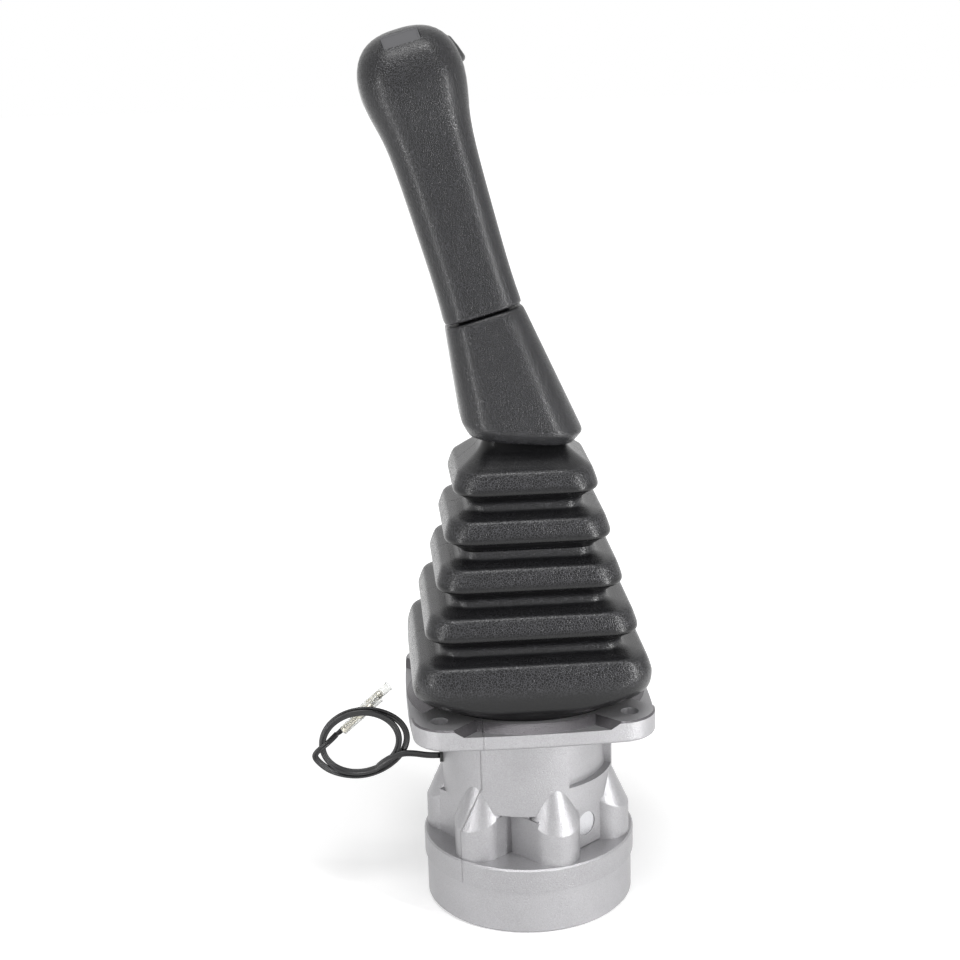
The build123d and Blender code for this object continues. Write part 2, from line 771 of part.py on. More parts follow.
# ---- lever rod: threaded socket on the stud, straight shank, bend, and the part inside the grip ----
rod_end_s = ring_s + lever_in_grip
with BuildPart() as lever_rod:
    with BuildLine() as rod_line:
        FilletPolyline(
            (0, 0, socket_z + lever_socket_h),
            (0, 0, rod_bend_z),
            lever_plane(rod_end_s).origin,
            radius=rod_bend_r,
        )
    with BuildSketch(Plane.XY.offset(socket_z + lever_socket_h)):
        Circle(lever_r)
    sweep(path=rod_line.wires()[0])
    with BuildSketch(Plane.XY.offset(socket_z)):
        Circle(lever_socket_r)
    extrude(amount=lever_socket_h)
    with BuildSketch(Plane.XY.offset(socket_z)):
        Circle(head_stud_r + seat_fit)
    extrude(amount=stud_top - socket_z + clear, mode=Mode.SUBTRACT)
finish_piece(lever_rod.part, "lever_rod")

# ---- boot: five square bellows folds between the flange and the shroud ----
with BuildPart() as boot:
    for wall in (0, boot_wall):
        for z, half, corner in boot_sections(wall):
            with BuildSketch(Plane.XY.offset(z)):
                RectangleRounded(2 * half, 2 * half, corner)
        loft(ruled=True, mode=Mode.ADD if wall == 0 else Mode.SUBTRACT)
    with BuildSketch(lever_plane(0)):
        Circle(lever_r + clear)
    extrude(amount=3 * boot_wall + boot_top_z - rod_bend_z, mode=Mode.SUBTRACT)
finish_piece(boot.part, "boot")

# ---- shroud: flared skirt between the grip and the boot ----
rim_plane = Plane((0, 0, shroud_rim_z)).rotated((0, shroud_rim_tilt, 0))
with BuildPart() as shroud:
    for inset in (0, shroud_wall):
        top_plane = lever_plane(ring_s - parting_gap - inset)
        for plane, half in (
            (top_plane, grip_profile[0][1] - inset),
            (rim_plane, shroud_rim_half - inset),
            (rim_plane.offset(-shroud_lip_h - inset), shroud_lip_half - inset),
        ):
            with BuildSketch(plane):
                RectangleRounded(2 * half, 2 * half * grip_depth, section_round * half)
        loft(ruled=True, mode=Mode.ADD if inset == 0 else Mode.SUBTRACT)
    with BuildSketch(lever_plane(0)):
        Circle(lever_r + seat_fit)
    extrude(amount=ring_s + clear, mode=Mode.SUBTRACT)
finish_piece(shroud.part, "shroud")

# ---- grip: rounded square stem that swells into a bulbous head ----
with BuildPart() as grip:
    for height, half in grip_profile:
        with BuildSketch(lever_plane(ring_s + height)):
            RectangleRounded(2 * half, 2 * half * grip_depth, section_round * half)
    loft()
    with BuildSketch(lever_plane(ring_s)):
        Circle(lever_r + seat_fit)
    extrude(amount=lever_in_grip + clear, mode=Mode.SUBTRACT)
    with BuildSketch(button_plane.offset(switch_back)):
        Circle(switch_r + seat_fit)
    extrude(amount=switch_h, mode=Mode.SUBTRACT)
    with BuildSketch(button_plane.offset(switch_back + switch_h)):
        Circle(button_r + clear)
    extrude(amount=3 * button_h, mode=Mode.SUBTRACT)
    with BuildSketch(label_plane):
        RectangleRounded(label_w + clear, label_d + clear, label_corner_r)
    extrude(amount=2 * label_d, mode=Mode.SUBTRACT)
finish_piece(grip.part, "grip")

with BuildPart() as label_plate:
    with BuildSketch(label_plane):
        RectangleRounded(label_w, label_d, label_corner_r)
    extrude(amount=label_h)
finish_piece(label_plate.part, "label_plate")

with BuildPart() as horn_switch:
    with BuildSketch(button_plane.offset(switch_back)):
        Circle(switch_r)
    extrude(amount=switch_h)
    with BuildSketch(button_plane.offset(switch_back + switch_h)):
        Circle(button_stem_r + run_fit)
    extrude(amount=-switch_h / 2, mode=Mode.SUBTRACT)
finish_piece(horn_switch.part, "horn_switch")

with BuildPart() as horn_button:
    with BuildSketch(button_plane.offset(button_back)):
        Circle(button_r)
    extrude(amount=button_h)
    fillet(horn_button.edges(), button_fillet)
    with BuildSketch(button_plane.offset(button_back + button_fillet)):
        Circle(button_stem_r)
    extrude(amount=-button_stem_h - button_fillet)
finish_piece(horn_button.part, "horn_button")

# ---- lead: a short free run, the loose loops it is wound in, and two bullet terminals in sleeves ----
route = [Vector(*point) for point in lead_route]
turn = radians((route[1] - route[0]).get_angle(route[2] - route[1]))
shorter = min((route[1] - route[0]).length, (route[2] - route[1]).length)
lead_bend_r = 0.45 * shorter / tan(turn / 2)
print("lead bend radius", round(lead_bend_r, 1))
with BuildPart() as lead_coil:
    with BuildSketch(Plane.XZ):
        with Locations(coil_centre):
            Ellipse(*coil_radii)
            Ellipse(*coil_hole_radii, mode=Mode.SUBTRACT)
    extrude(amount=coil_half_depth, both=True)
finish_piece(lead_coil.part, "lead_coil")

with BuildPart() as lead:
    with BuildLine() as lead_line:
        FilletPolyline(*route, radius=lead_bend_r)
    with BuildSketch(Plane(route[0], z_dir=route[1] - route[0])):
        Circle(lead_r)
    sweep(path=lead_line.wires()[0])
    add(lead_coil.part, mode=Mode.SUBTRACT)
finish_piece(lead.part, "lead")

rise = radians(terminal_rise)
terminal_planes = [
    Plane(
        (
            terminal_rear[0] + number * terminal_pitch * sin(rise),
            coil_half_depth + sleeve_r + clear,
            terminal_rear[1] - number * terminal_pitch * cos(rise),
        ),
        z_dir=(cos(rise), 0, sin(rise)),
    )
    for number in range(2)
]
with BuildPart() as bullet_terminals:
    for plane in terminal_planes:
        with BuildSketch(plane):
            Circle(terminal_barrel_r)
        extrude(amount=terminal_h)
        with BuildSketch(plane.offset(terminal_h / 2)):
            Circle(terminal_r)
        extrude(amount=terminal_h / 2)
finish_piece(bullet_terminals.part, "bullet_terminals")

with BuildPart() as terminal_sleeves:
    for plane in terminal_planes:
        with BuildSketch(plane):
            Circle(sleeve_r)
            Circle(sleeve_r - sleeve_wall, mode=Mode.SUBTRACT)
        extrude(amount=sleeve_h)
finish_piece(terminal_sleeves.part, "terminal_sleeves")
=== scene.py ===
# %% [markdown]
# # A pilot valve joystick, dressed in cells
#
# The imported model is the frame: every metal part, pin and spring is already in its place, in metres.
# These cells add what a frame can't hold: rubber with its grain, a die-cast skin, springs that shorten,
# and a soft lead.
# Each cell says what the piece is on the real valve, how it could be made and why this way was chosen.

# %% Load the frame
import json
import math

import bmesh
import bpy
from mathutils import Matrix, Vector


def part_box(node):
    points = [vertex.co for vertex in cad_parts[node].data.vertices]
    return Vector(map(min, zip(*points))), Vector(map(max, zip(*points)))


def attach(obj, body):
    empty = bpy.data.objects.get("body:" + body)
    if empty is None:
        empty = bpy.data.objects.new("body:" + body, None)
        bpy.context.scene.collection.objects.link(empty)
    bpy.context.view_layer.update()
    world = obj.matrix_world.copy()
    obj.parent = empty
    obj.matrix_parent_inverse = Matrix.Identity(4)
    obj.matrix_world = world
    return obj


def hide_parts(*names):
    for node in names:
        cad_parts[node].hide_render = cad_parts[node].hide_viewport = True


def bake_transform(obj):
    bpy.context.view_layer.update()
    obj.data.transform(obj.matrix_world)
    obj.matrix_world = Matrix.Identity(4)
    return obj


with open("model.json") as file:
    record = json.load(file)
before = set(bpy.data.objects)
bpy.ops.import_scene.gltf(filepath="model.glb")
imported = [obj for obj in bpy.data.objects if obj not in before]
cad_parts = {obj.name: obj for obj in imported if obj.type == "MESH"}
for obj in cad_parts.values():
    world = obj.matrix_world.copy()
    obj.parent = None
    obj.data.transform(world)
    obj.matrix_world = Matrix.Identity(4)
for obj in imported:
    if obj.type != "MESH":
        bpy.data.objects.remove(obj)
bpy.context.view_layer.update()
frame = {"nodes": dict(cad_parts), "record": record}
nodes = frame["nodes"]

# %% [markdown]
# ## The camera
#
# A product shot is taken from a few steps away with a long lens, so upright edges stay nearly parallel.
# The camera stands a little left of the valve's front and looks down on it by some fifteen degrees.
# It could aim at the valve with a constraint. Plain angles are chosen, because they keep the small roll.

# %% Place the camera
camera_place = (-0.0757, -0.8271, 0.4447)
camera_down = math.radians(15.53)
camera_pan = math.radians(-3.87)
camera_roll = math.radians(-1.58)

camera_data = bpy.data.cameras.new("camera")
camera_data.lens = 67.5
camera_data.sensor_width = 36.0
camera = bpy.data.objects.new("camera", camera_data)
bpy.context.collection.objects.link(camera)
turn = (
    Matrix.Rotation(camera_pan, 4, "Z")
    @ Matrix.Rotation(math.pi / 2 - camera_down, 4, "X")
    @ Matrix.Rotation(camera_roll, 4, "Z")
)
camera.matrix_world = Matrix.Translation(camera_place) @ turn
bpy.context.scene.camera = camera
bpy.context.scene.view_settings.view_transform = "Standard"

# %% [markdown]
# ## The floor and the room
#
# The valve stands in a white studio. The floor has to be white to the eye and still hold a soft shadow.
# A stronger lamp would whiten the floor, but it would burn the metal too. So the floor adds a little
# light of its own, for camera, mirror and glass rays only, and the room is white for those same rays.


# %% Helpers for shader trees
def new_tree(owner):
    """An empty node tree on a material or world."""
    owner.use_nodes = True
    tree = owner.node_tree
    tree.nodes.clear()
    return tree


def put(tree, kind, **settings):
    """Add one node and set its attributes, or its sockets where a name starts with a capital letter."""
    node = tree.nodes.new(kind)
    for name, value in settings.items():
        if name[0].isupper():
            node.inputs[name.replace("_", " ")].default_value = value
        else:
            setattr(node, name, value)
    return node


def wire(tree, *pairs):
    """Join pairs of (output, input) sockets."""
    for output, target in pairs:
        tree.links.new(output, target)


def height_of(tree, vector):
    """The Z part of a vector."""
    parts = put(tree, "ShaderNodeSeparateXYZ")
    wire(tree, (vector, parts.inputs[0]))
    return parts.outputs["Z"]


def step_over(tree, value, level):
    """1 where a value lies over a level, and 0 elsewhere."""
    step = put(tree, "ShaderNodeMath", operation="GREATER_THAN")
    step.inputs[1].default_value = level
    wire(tree, (value, step.inputs[0]))
    return step.outputs[0]


def ramp(tree, value, low, high):
    """A smooth rise from 0 at one value to 1 at another."""
    rise = put(tree, "ShaderNodeMapRange", interpolation_type="SMOOTHSTEP")
    rise.inputs["From Min"].default_value = low
    rise.inputs["From Max"].default_value = high
    wire(tree, (value, rise.inputs["Value"]))
    return rise.outputs["Result"]


def times(tree, first, second):
    """Two values multiplied."""
    both = put(tree, "ShaderNodeMath", operation="MULTIPLY")
    wire(tree, (first, both.inputs[0]), (second, both.inputs[1]))
    return both.outputs[0]


def overlay(tree, share, colour, over, blend_type="MIX"):
    """Lay a fixed colour over another by a 0 to 1 share."""
    laid = put(tree, "ShaderNodeMix", data_type="RGBA", blend_type=blend_type)
    laid.inputs["B"].default_value = over
    wire(tree, (share, laid.inputs["Factor"]), (colour, laid.inputs["A"]))
    return laid.outputs["Result"]


def falling(tree, value, width):
    """A smooth fall from 1 at zero to 0 at a width."""
    fall = put(tree, "ShaderNodeMapRange", interpolation_type="SMOOTHSTEP")
    fall.inputs["To Min"].default_value = 1.0
    fall.inputs["To Max"].default_value = 0.0
    wire(tree, (value, fall.inputs["Value"]), (width, fall.inputs["From Max"]))
    return fall.outputs["Result"]


def seen_directly(tree):
    """A value that is 1 for camera, mirror and glass rays, and 0 for the soft light on surfaces."""
    path = put(tree, "ShaderNodeLightPath")
    first = put(tree, "ShaderNodeMath", operation="ADD", use_clamp=True)
    second = put(tree, "ShaderNodeMath", operation="ADD", use_clamp=True)
    wire(
        tree,
        (path.outputs["Is Camera Ray"], first.inputs[0]),
        (path.outputs["Is Glossy Ray"], first.inputs[1]),
        (first.outputs[0], second.inputs[0]),
        (path.outputs["Is Transmission Ray"], second.inputs[1]),
    )
    return second.outputs[0]


# %% Make the floor and the white room
room_light = 0.30
floor_glow = 0.35

world = bpy.data.worlds.new("white room")
bpy.context.scene.world = world
tree = new_tree(world)
soft = put(tree, "ShaderNodeBackground", Color=(1, 1, 1, 1), Strength=room_light)
white = put(tree, "ShaderNodeBackground", Color=(1, 1, 1, 1), Strength=1.0)
choose = put(tree, "ShaderNodeMixShader")
out = put(tree, "ShaderNodeOutputWorld")
wire(
    tree,
    (seen_directly(tree), choose.inputs[0]),
    (soft.outputs[0], choose.inputs[1]),
    (white.outputs[0], choose.inputs[2]),
    (choose.outputs[0], out.inputs[0]),
)

floor_finish = bpy.data.materials.new("floor white")
tree = new_tree(floor_finish)
matt = put(tree, "ShaderNodeBsdfDiffuse", Color=(0.80, 0.80, 0.80, 1))
glow = put(tree, "ShaderNodeEmission", Color=(1, 1, 1, 1))
place = put(tree, "ShaderNodeTexCoord")
away = put(tree, "ShaderNodeVectorMath", operation="LENGTH")
fade = put(tree, "ShaderNodeMapRange")
fade.inputs["From Min"].default_value = 0.10
fade.inputs["From Max"].default_value = 0.45
fade.inputs["To Min"].default_value = floor_glow
level = times(tree, fade.outputs["Result"], seen_directly(tree))
both = put(tree, "ShaderNodeAddShader")
out = put(tree, "ShaderNodeOutputMaterial")
wire(
    tree,
    (place.outputs["Object"], away.inputs[0]),
    (away.outputs["Value"], fade.inputs["Value"]),
    (level, glow.inputs["Strength"]),
    (matt.outputs[0], both.inputs[0]),
    (glow.outputs[0], both.inputs[1]),
    (both.outputs[0], out.inputs[0]),
)


def mesh_object(name, bm, smooth=True):
    """Turn a bmesh into an object that sits at the origin, with its faces shaded smooth."""
    mesh = bpy.data.meshes.new(name)
    bm.to_mesh(mesh)
    bm.free()
    if smooth:
        mesh.shade_smooth()
    piece = bpy.data.objects.new(name, mesh)
    bpy.context.collection.objects.link(piece)
    return piece


bm = bmesh.new()
bmesh.ops.create_grid(bm, x_segments=1, y_segments=1, size=6.0)
floor = mesh_object("floor", bm, smooth=False)
floor.data.materials.append(floor_finish)

# %% [markdown]
# ## Lamps
#
# Black rubber shows its shape only where a lamp is mirrored in it, so tall narrow strips are better than
# spots. They stand close and low, because an upright skin seen from above mirrors what lies below it. One
# strip on each side gives a faint highlight down the handle, and a box above lights the flange.


# %% Hang the soft boxes
def soft_box(name, place, aim, size, power):
    """A rectangular area lamp that looks at a point."""
    lamp_data = bpy.data.lights.new(name, "AREA")
    lamp_data.shape = "RECTANGLE"
    lamp_data.size = size[0]
    lamp_data.size_y = size[1]
    lamp_data.energy = power
    lamp = bpy.data.objects.new(name, lamp_data)
    bpy.context.collection.objects.link(lamp)
    lamp.location = place
    lamp.rotation_euler = (Vector(aim) - Vector(place)).to_track_quat("-Z", "Y").to_euler()
    return lamp


middle = (0.0, 0.0, 0.22)
soft_box("left box", (-0.36, -0.29, 0.26), middle, (0.040, 0.48), 1.1)
soft_box("right box", (0.33, -0.33, 0.26), middle, (0.045, 0.48), 2.3)
soft_box("top box", (-0.10, -0.45, 1.30), middle, (0.5, 0.4), 7.0)

# %% [markdown]
# ## Shared effects: leather grain, cast skin and thin lines
#
# The boot, the skirt and the grip carry the same moulded leather grain at different sizes, and the two
# aluminium castings share one sandy skin. A pattern that several finishes use is a node group, built
# once with named inputs. A picture of leather would be quicker, but nodes stay sharp at any distance.


# %% Build the effect groups
def new_group(name, inputs, outputs):
    """A shader node group with named sockets: (name, kind, default) for inputs, (name, kind) for outputs."""
    group = bpy.data.node_groups.new(name, "ShaderNodeTree")
    for label, kind, default in inputs:
        socket = group.interface.new_socket(label, in_out="INPUT", socket_type=kind)
        if default is not None:
            socket.default_value = default
    for label, kind in outputs:
        group.interface.new_socket(label, in_out="OUTPUT", socket_type=kind)
    return group, group.nodes.new("NodeGroupInput"), group.nodes.new("NodeGroupOutput")


number = "NodeSocketFloat"
arrow = "NodeSocketVector"


def leather_group():
    """Pebble grain: a web of fine ridges round small cells, pulled out of true by a slow noise."""
    group, given, result = new_group(
        "leather grain",
        [("Vector", arrow, None), ("Cells per metre", number, 800.0), ("Web width", number, 0.16)],
        [("Web", number), ("Pores", number)],
    )
    drift = put(group, "ShaderNodeTexNoise", Detail=2.0)
    drift_scale = put(group, "ShaderNodeMath", operation="MULTIPLY")
    drift_scale.inputs[1].default_value = 0.55
    centre = put(group, "ShaderNodeVectorMath", operation="SUBTRACT")
    centre.inputs[1].default_value = (0.5, 0.5, 0.5)
    shrink = put(group, "ShaderNodeVectorMath", operation="SCALE")
    amount = put(group, "ShaderNodeMath", operation="DIVIDE")
    amount.inputs[0].default_value = 1.1
    moved = put(group, "ShaderNodeVectorMath", operation="ADD")
    cells = put(group, "ShaderNodeTexVoronoi", feature="DISTANCE_TO_EDGE")
    web = falling(group, cells.outputs["Distance"], given.outputs["Web width"])
    pores = put(group, "ShaderNodeTexNoise", Detail=3.0)
    wire(
        group,
        (given.outputs["Vector"], drift.inputs["Vector"]),
        (given.outputs["Cells per metre"], drift_scale.inputs[0]),
        (drift_scale.outputs[0], drift.inputs["Scale"]),
        (drift.outputs["Color"], centre.inputs[0]),
        (given.outputs["Cells per metre"], amount.inputs[1]),
        (centre.outputs[0], shrink.inputs[0]),
        (amount.outputs[0], shrink.inputs["Scale"]),
        (given.outputs["Vector"], moved.inputs[0]),
        (shrink.outputs[0], moved.inputs[1]),
        (moved.outputs[0], cells.inputs["Vector"]),
        (given.outputs["Cells per metre"], cells.inputs["Scale"]),
        (web, result.inputs["Web"]),
        (moved.outputs[0], pores.inputs["Vector"]),
        (given.outputs["Cells per metre"], pores.inputs["Scale"]),
        (pores.outputs[0], result.inputs["Pores"]),
    )
    return group


def sparkle_group():
    """The skin of a blasted casting: fine sand, a few deeper pits and slow clouds of tone."""
    group, given, result = new_group(
        "cast skin",
        [("Vector", arrow, None), ("Grains per metre", number, 1500.0)],
        [("Sand", number), ("Pits", number), ("Clouds", number)],
    )
    sand = put(group, "ShaderNodeTexNoise", Detail=4.0, Roughness=0.7)
    pit_scale = put(group, "ShaderNodeMath", operation="MULTIPLY")
    pit_scale.inputs[1].default_value = 0.35
    pit_cells = put(group, "ShaderNodeTexVoronoi")
    pits = put(group, "ShaderNodeMapRange", interpolation_type="SMOOTHSTEP")
    pits.inputs["From Max"].default_value = 0.22
    clouds = put(group, "ShaderNodeTexNoise", Scale=45.0, Detail=3.0)
    wire(
        group,
        (given.outputs["Vector"], sand.inputs["Vector"]),
        (given.outputs["Grains per metre"], sand.inputs["Scale"]),
        (sand.outputs[0], result.inputs["Sand"]),
        (given.outputs["Grains per metre"], pit_scale.inputs[0]),
        (given.outputs["Vector"], pit_cells.inputs["Vector"]),
        (pit_scale.outputs[0], pit_cells.inputs["Scale"]),
        (pit_cells.outputs["Distance"], pits.inputs["Value"]),
        (pits.outputs["Result"], result.inputs["Pits"]),
        (given.outputs["Vector"], clouds.inputs["Vector"]),
        (clouds.outputs[0], result.inputs["Clouds"]),
    )
    return group


def seam_group():
    """A thin line where the upright plane through the valve's middle, y = 0, cuts the skin."""
    group, given, result = new_group(
        "boot seam", [("Vector", arrow, None), ("Width", number, 0.0004)], [("Line", number)]
    )
    parts = put(group, "ShaderNodeSeparateXYZ")
    distance = put(group, "ShaderNodeMath", operation="ABSOLUTE")
    line = falling(group, distance.outputs[0], given.outputs["Width"])
    wire(
        group,
        (given.outputs["Vector"], parts.inputs[0]),
        (parts.outputs["Y"], distance.inputs[0]),
        (line, result.inputs["Line"]),
    )
    return group


def parting_group():
    """The die's parting line, left of the middle, front and back: upright, but slanted over the bosses."""
    group, given, result = new_group(
        "parting line", [("Vector", arrow, None), ("Width", number, 0.0004)], [("Line", number)]
    )
    parts = put(group, "ShaderNodeSeparateXYZ")
    track = put(group, "ShaderNodeMapRange")
    for name, value in (("From Min", 0.0485), ("From Max", 0.0695), ("To Min", -0.0360), ("To Max", -0.0252)):
        track.inputs[name].default_value = value
    offset = put(group, "ShaderNodeMath", operation="SUBTRACT")
    distance = put(group, "ShaderNodeMath", operation="ABSOLUTE")
    line = falling(group, distance.outputs[0], given.outputs["Width"])
    wire(
        group,
        (given.outputs["Vector"], parts.inputs[0]),
        (parts.outputs["Z"], track.inputs["Value"]),
        (parts.outputs["X"], offset.inputs[0]),
        (track.outputs["Result"], offset.inputs[1]),
        (offset.outputs[0], distance.inputs[0]),
        (line, result.inputs["Line"]),
    )
    return group


leather = leather_group()
cast_skin = sparkle_group()
boot_seam = seam_group()
die_parting = parting_group()


# %% [markdown]
# ## Finishes for the metal
#
# The housing is die-cast aluminium, blasted to a sandy silver that still mirrors the room softly. The
# steel inside is ground, blacked or zinc plated. Each finish is one Principled shader whose roughness
# and bump come from the shared groups, so that nothing is one flat colour.


# %% Make the metal finishes
def start_finish(name, colour, metallic, roughness, **settings):
    """A material with a Principled shader, its output and object coordinates, ready for detail."""
    finish = bpy.data.materials.new(name)
    tree = new_tree(finish)
    shader = put(tree, "ShaderNodeBsdfPrincipled", Metallic=metallic, Roughness=roughness, **settings)
    shader.inputs["Base Color"].default_value = (*colour, 1)
    out = put(tree, "ShaderNodeOutputMaterial")
    place = put(tree, "ShaderNodeTexCoord")
    wire(tree, (shader.outputs[0], out.inputs[0]))
    return finish, tree, shader, place.outputs["Object"]


def use_group(tree, group, vector, **settings):
    """Place a node group in a tree and feed it a vector and its own numbers."""
    node = put(tree, "ShaderNodeGroup", node_tree=group)
    for name, value in settings.items():
        node.inputs[name.replace("_", " ")].default_value = value
    wire(tree, (vector, node.inputs["Vector"]))
    return node


def spread(tree, value, low, high):
    """Map a 0 to 1 value onto another range."""
    change = put(tree, "ShaderNodeMapRange")
    change.inputs["To Min"].default_value = low
    change.inputs["To Max"].default_value = high
    wire(tree, (value, change.inputs["Value"]))
    return change.outputs["Result"]


def tint(tree, value, low, high):
    """Blend between two colours by a 0 to 1 value."""
    blend = put(tree, "ShaderNodeMix", data_type="RGBA")
    blend.inputs["A"].default_value = (*low, 1)
    blend.inputs["B"].default_value = (*high, 1)
    wire(tree, (value, blend.inputs["Factor"]))
    return blend.outputs["Result"]


def relief(tree, height, depth, normal=None):
    """A bump of a real depth in metres, laid over an earlier one where it is given."""
    bump = put(tree, "ShaderNodeBump", Strength=1.0, Distance=depth)
    wire(tree, (height, bump.inputs["Height"]))
    if normal is not None:
        wire(tree, (normal, bump.inputs["Normal"]))
    return bump.outputs["Normal"]


metal_share = 0.6
line_width = 0.00045
# Painted shadow: a dark band at the top of the port plate stands in for the shade under the casing's ring.
painted_shadow_fade = 0.0004
painted_shadow_tone = (0.05, 0.05, 0.05, 1)
# Painted reflection: the facing limits and the tone below darken the pockets' sloped floors in place of the
# black boot mirrored there.
level_facing = 0.97
sloped_facing = 0.90
upright_facing = 0.15
painted_boot_reflection_tone = (0.27, 0.26, 0.27, 1)
seam_tone = (0.001, 0.001, 0.001, 1)


def painted_boot_reflection(tree, place, colour):
    """A painted reflection: darker metal on the pockets' sloped floors, standing in for the black boot
    mirrored there.
    """
    facing = height_of(tree, put(tree, "ShaderNodeNewGeometry").outputs["True Normal"])
    high = step_over(tree, height_of(tree, place), pocket_from)
    upward = times(tree, step_over(tree, facing, upright_facing), high)
    share = times(tree, upward, ramp(tree, facing, level_facing, sloped_facing))
    return overlay(tree, share, colour, painted_boot_reflection_tone, "MULTIPLY")


def cast_metal(name, tone, roughness, grain_depth, parted=False, painted_shadow_from=None):
    """Blasted die-cast aluminium; the parted casting also has a parting line and a painted reflection of the
    boot on its pockets' floors.
    """
    finish, tree, shader, place = start_finish(name, (tone, tone, tone * 1.02), metal_share, roughness)
    skin = use_group(tree, cast_skin, place)
    dark = (tone * 0.74, tone * 0.73, tone * 0.75)
    light = (tone * 1.22, tone * 1.21, tone * 1.25)
    mixed = put(tree, "ShaderNodeMath", operation="MULTIPLY_ADD", use_clamp=True)
    mixed.inputs[1].default_value = 0.5
    wire(
        tree,
        (spread(tree, skin.outputs["Sand"], -0.9, 1.9), mixed.inputs[0]),
        (spread(tree, skin.outputs["Clouds"], 0.0, 0.5), mixed.inputs[2]),
        (spread(tree, skin.outputs["Sand"], roughness - 0.14, roughness + 0.14), shader.inputs["Roughness"]),
    )
    colour = tint(tree, mixed.outputs[0], dark, light)
    normal = relief(tree, skin.outputs["Sand"], grain_depth)
    normal = relief(tree, skin.outputs["Pits"], grain_depth * 0.8, normal)
    if parted:
        line = use_group(tree, die_parting, place, Width=line_width)
        normal = relief(tree, line.outputs["Line"], 0.0004, normal)
        # Painted reflection of the black boot on the pockets' sloped floors.
        colour = painted_boot_reflection(tree, place, colour)
    # Painted shadow: darkens the band above the given height, where the casing's ring overhangs the port
    # plate.
    if painted_shadow_from is not None:
        rise = ramp(tree, height_of(tree, place), painted_shadow_from, painted_shadow_from + painted_shadow_fade)
        colour = overlay(tree, rise, colour, painted_shadow_tone)
    wire(tree, (colour, shader.inputs["Base Color"]), (normal, shader.inputs["Normal"]))
    return finish


def fine_metal(name, colour, roughness, scale=2200.0):
    """Turned, ground or plated metal with a fine uneven polish."""
    finish, tree, shader, place = start_finish(name, colour, 1.0, roughness)
    skin = use_group(tree, cast_skin, place, Grains_per_metre=scale)
    deep = tuple(part * 0.86 for part in colour)
    wire(
        tree,
        (tint(tree, skin.outputs["Clouds"], deep, colour), shader.inputs["Base Color"]),
        (spread(tree, skin.outputs["Sand"], roughness - 0.08, roughness + 0.1), shader.inputs["Roughness"]),
        (relief(tree, skin.outputs["Sand"], 0.00002), shader.inputs["Normal"]),
    )
    return finish


plate_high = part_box("port_plate")[1]
casting_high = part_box("casing")[1]
pocket_from = casting_high.z - 0.0105
casting = cast_metal("die-cast aluminium", 0.36, 0.36, 0.00016, parted=True)
# The port plate gets the painted shadow band along its top edge, under the casing's ring.
turned_plate = cast_metal("port plate aluminium", 0.39, 0.40, 0.00012, painted_shadow_from=plate_high.z - 0.0006)
ground_steel = fine_metal("ground steel", (0.62, 0.62, 0.64), 0.28)
dark_steel = fine_metal("blacked steel", (0.16, 0.16, 0.17), 0.45)
zinc_steel = fine_metal("zinc plated steel", (0.55, 0.55, 0.58), 0.34)
spring_steel = fine_metal("drawn spring wire", (0.34, 0.34, 0.36), 0.35)
bronze = fine_metal("bronze", (0.55, 0.38, 0.18), 0.33)
tinned = fine_metal("tinned brass", (0.74, 0.70, 0.60), 0.27)

# %% [markdown]
# ## Finishes for rubber and plastic
#
# The rubber is black with a slight cool cast. Its grain is pressed into it by the mould, so the web of
# ridges catches the light while the cells stay dark. The boot's lips and its lowest band are plain, so
# its mesh carries a value named grain that says how much of the pattern each place gets.


# %% Make the rubber and plastic finishes
def grained_rubber(name, tone, roughness, cells, depth, painted=False):
    """Moulded rubber with leather grain, everywhere or as far as the mesh's own grain value says."""
    finish, tree, shader, place = start_finish(name, (tone,) * 3, 0.0, roughness)
    shader.inputs["Specular IOR Level"].default_value = 0.34
    grain = use_group(tree, leather, place, Cells_per_metre=cells)
    web = grain.outputs["Web"]
    if painted:
        share = put(tree, "ShaderNodeAttribute", attribute_name="grain")
        web = times(tree, web, share.outputs["Fac"])
    normal = relief(tree, web, depth)
    normal = relief(tree, grain.outputs["Pores"], depth * 0.15, normal)
    colour = tint(tree, web, (tone, tone, tone * 1.1), (tone * 11.0, tone * 11.0, tone * 12.0))
    if painted:
        line = use_group(tree, boot_seam, place, Width=line_width).outputs["Line"]
        normal = relief(tree, line, -0.0005, normal)
        colour = overlay(tree, line, colour, seam_tone)
    wire(
        tree,
        (colour, shader.inputs["Base Color"]),
        (spread(tree, web, roughness + 0.08, roughness - 0.06), shader.inputs["Roughness"]),
        (normal, shader.inputs["Normal"]),
    )
    return finish


def smooth_plastic(name, colour, roughness):
    """Moulded plastic or plain rubber with a faint orange peel."""
    finish, tree, shader, place = start_finish(name, colour, 0.0, roughness)
    grain = use_group(tree, leather, place, Cells_per_metre=1400.0)
    wire(
        tree,
        (spread(tree, grain.outputs["Pores"], roughness - 0.05, roughness + 0.08), shader.inputs["Roughness"]),
        (relief(tree, grain.outputs["Pores"], 0.00002), shader.inputs["Normal"]),
    )
    return finish


def clear_plastic(name):
    """Soft clear tubing, slightly cloudy."""
    finish, tree, shader, place = start_finish(name, (0.94, 0.945, 0.93), 0.0, 0.12)
    shader.inputs["Transmission Weight"].default_value = 0.9
    shader.inputs["IOR"].default_value = 1.4
    grain = use_group(tree, leather, place, Cells_per_metre=500.0)
    wire(
        tree,
        (spread(tree, grain.outputs["Pores"], 0.06, 0.22), shader.inputs["Roughness"]),
        (relief(tree, grain.outputs["Pores"], 0.00003), shader.inputs["Normal"]),
    )
    return finish


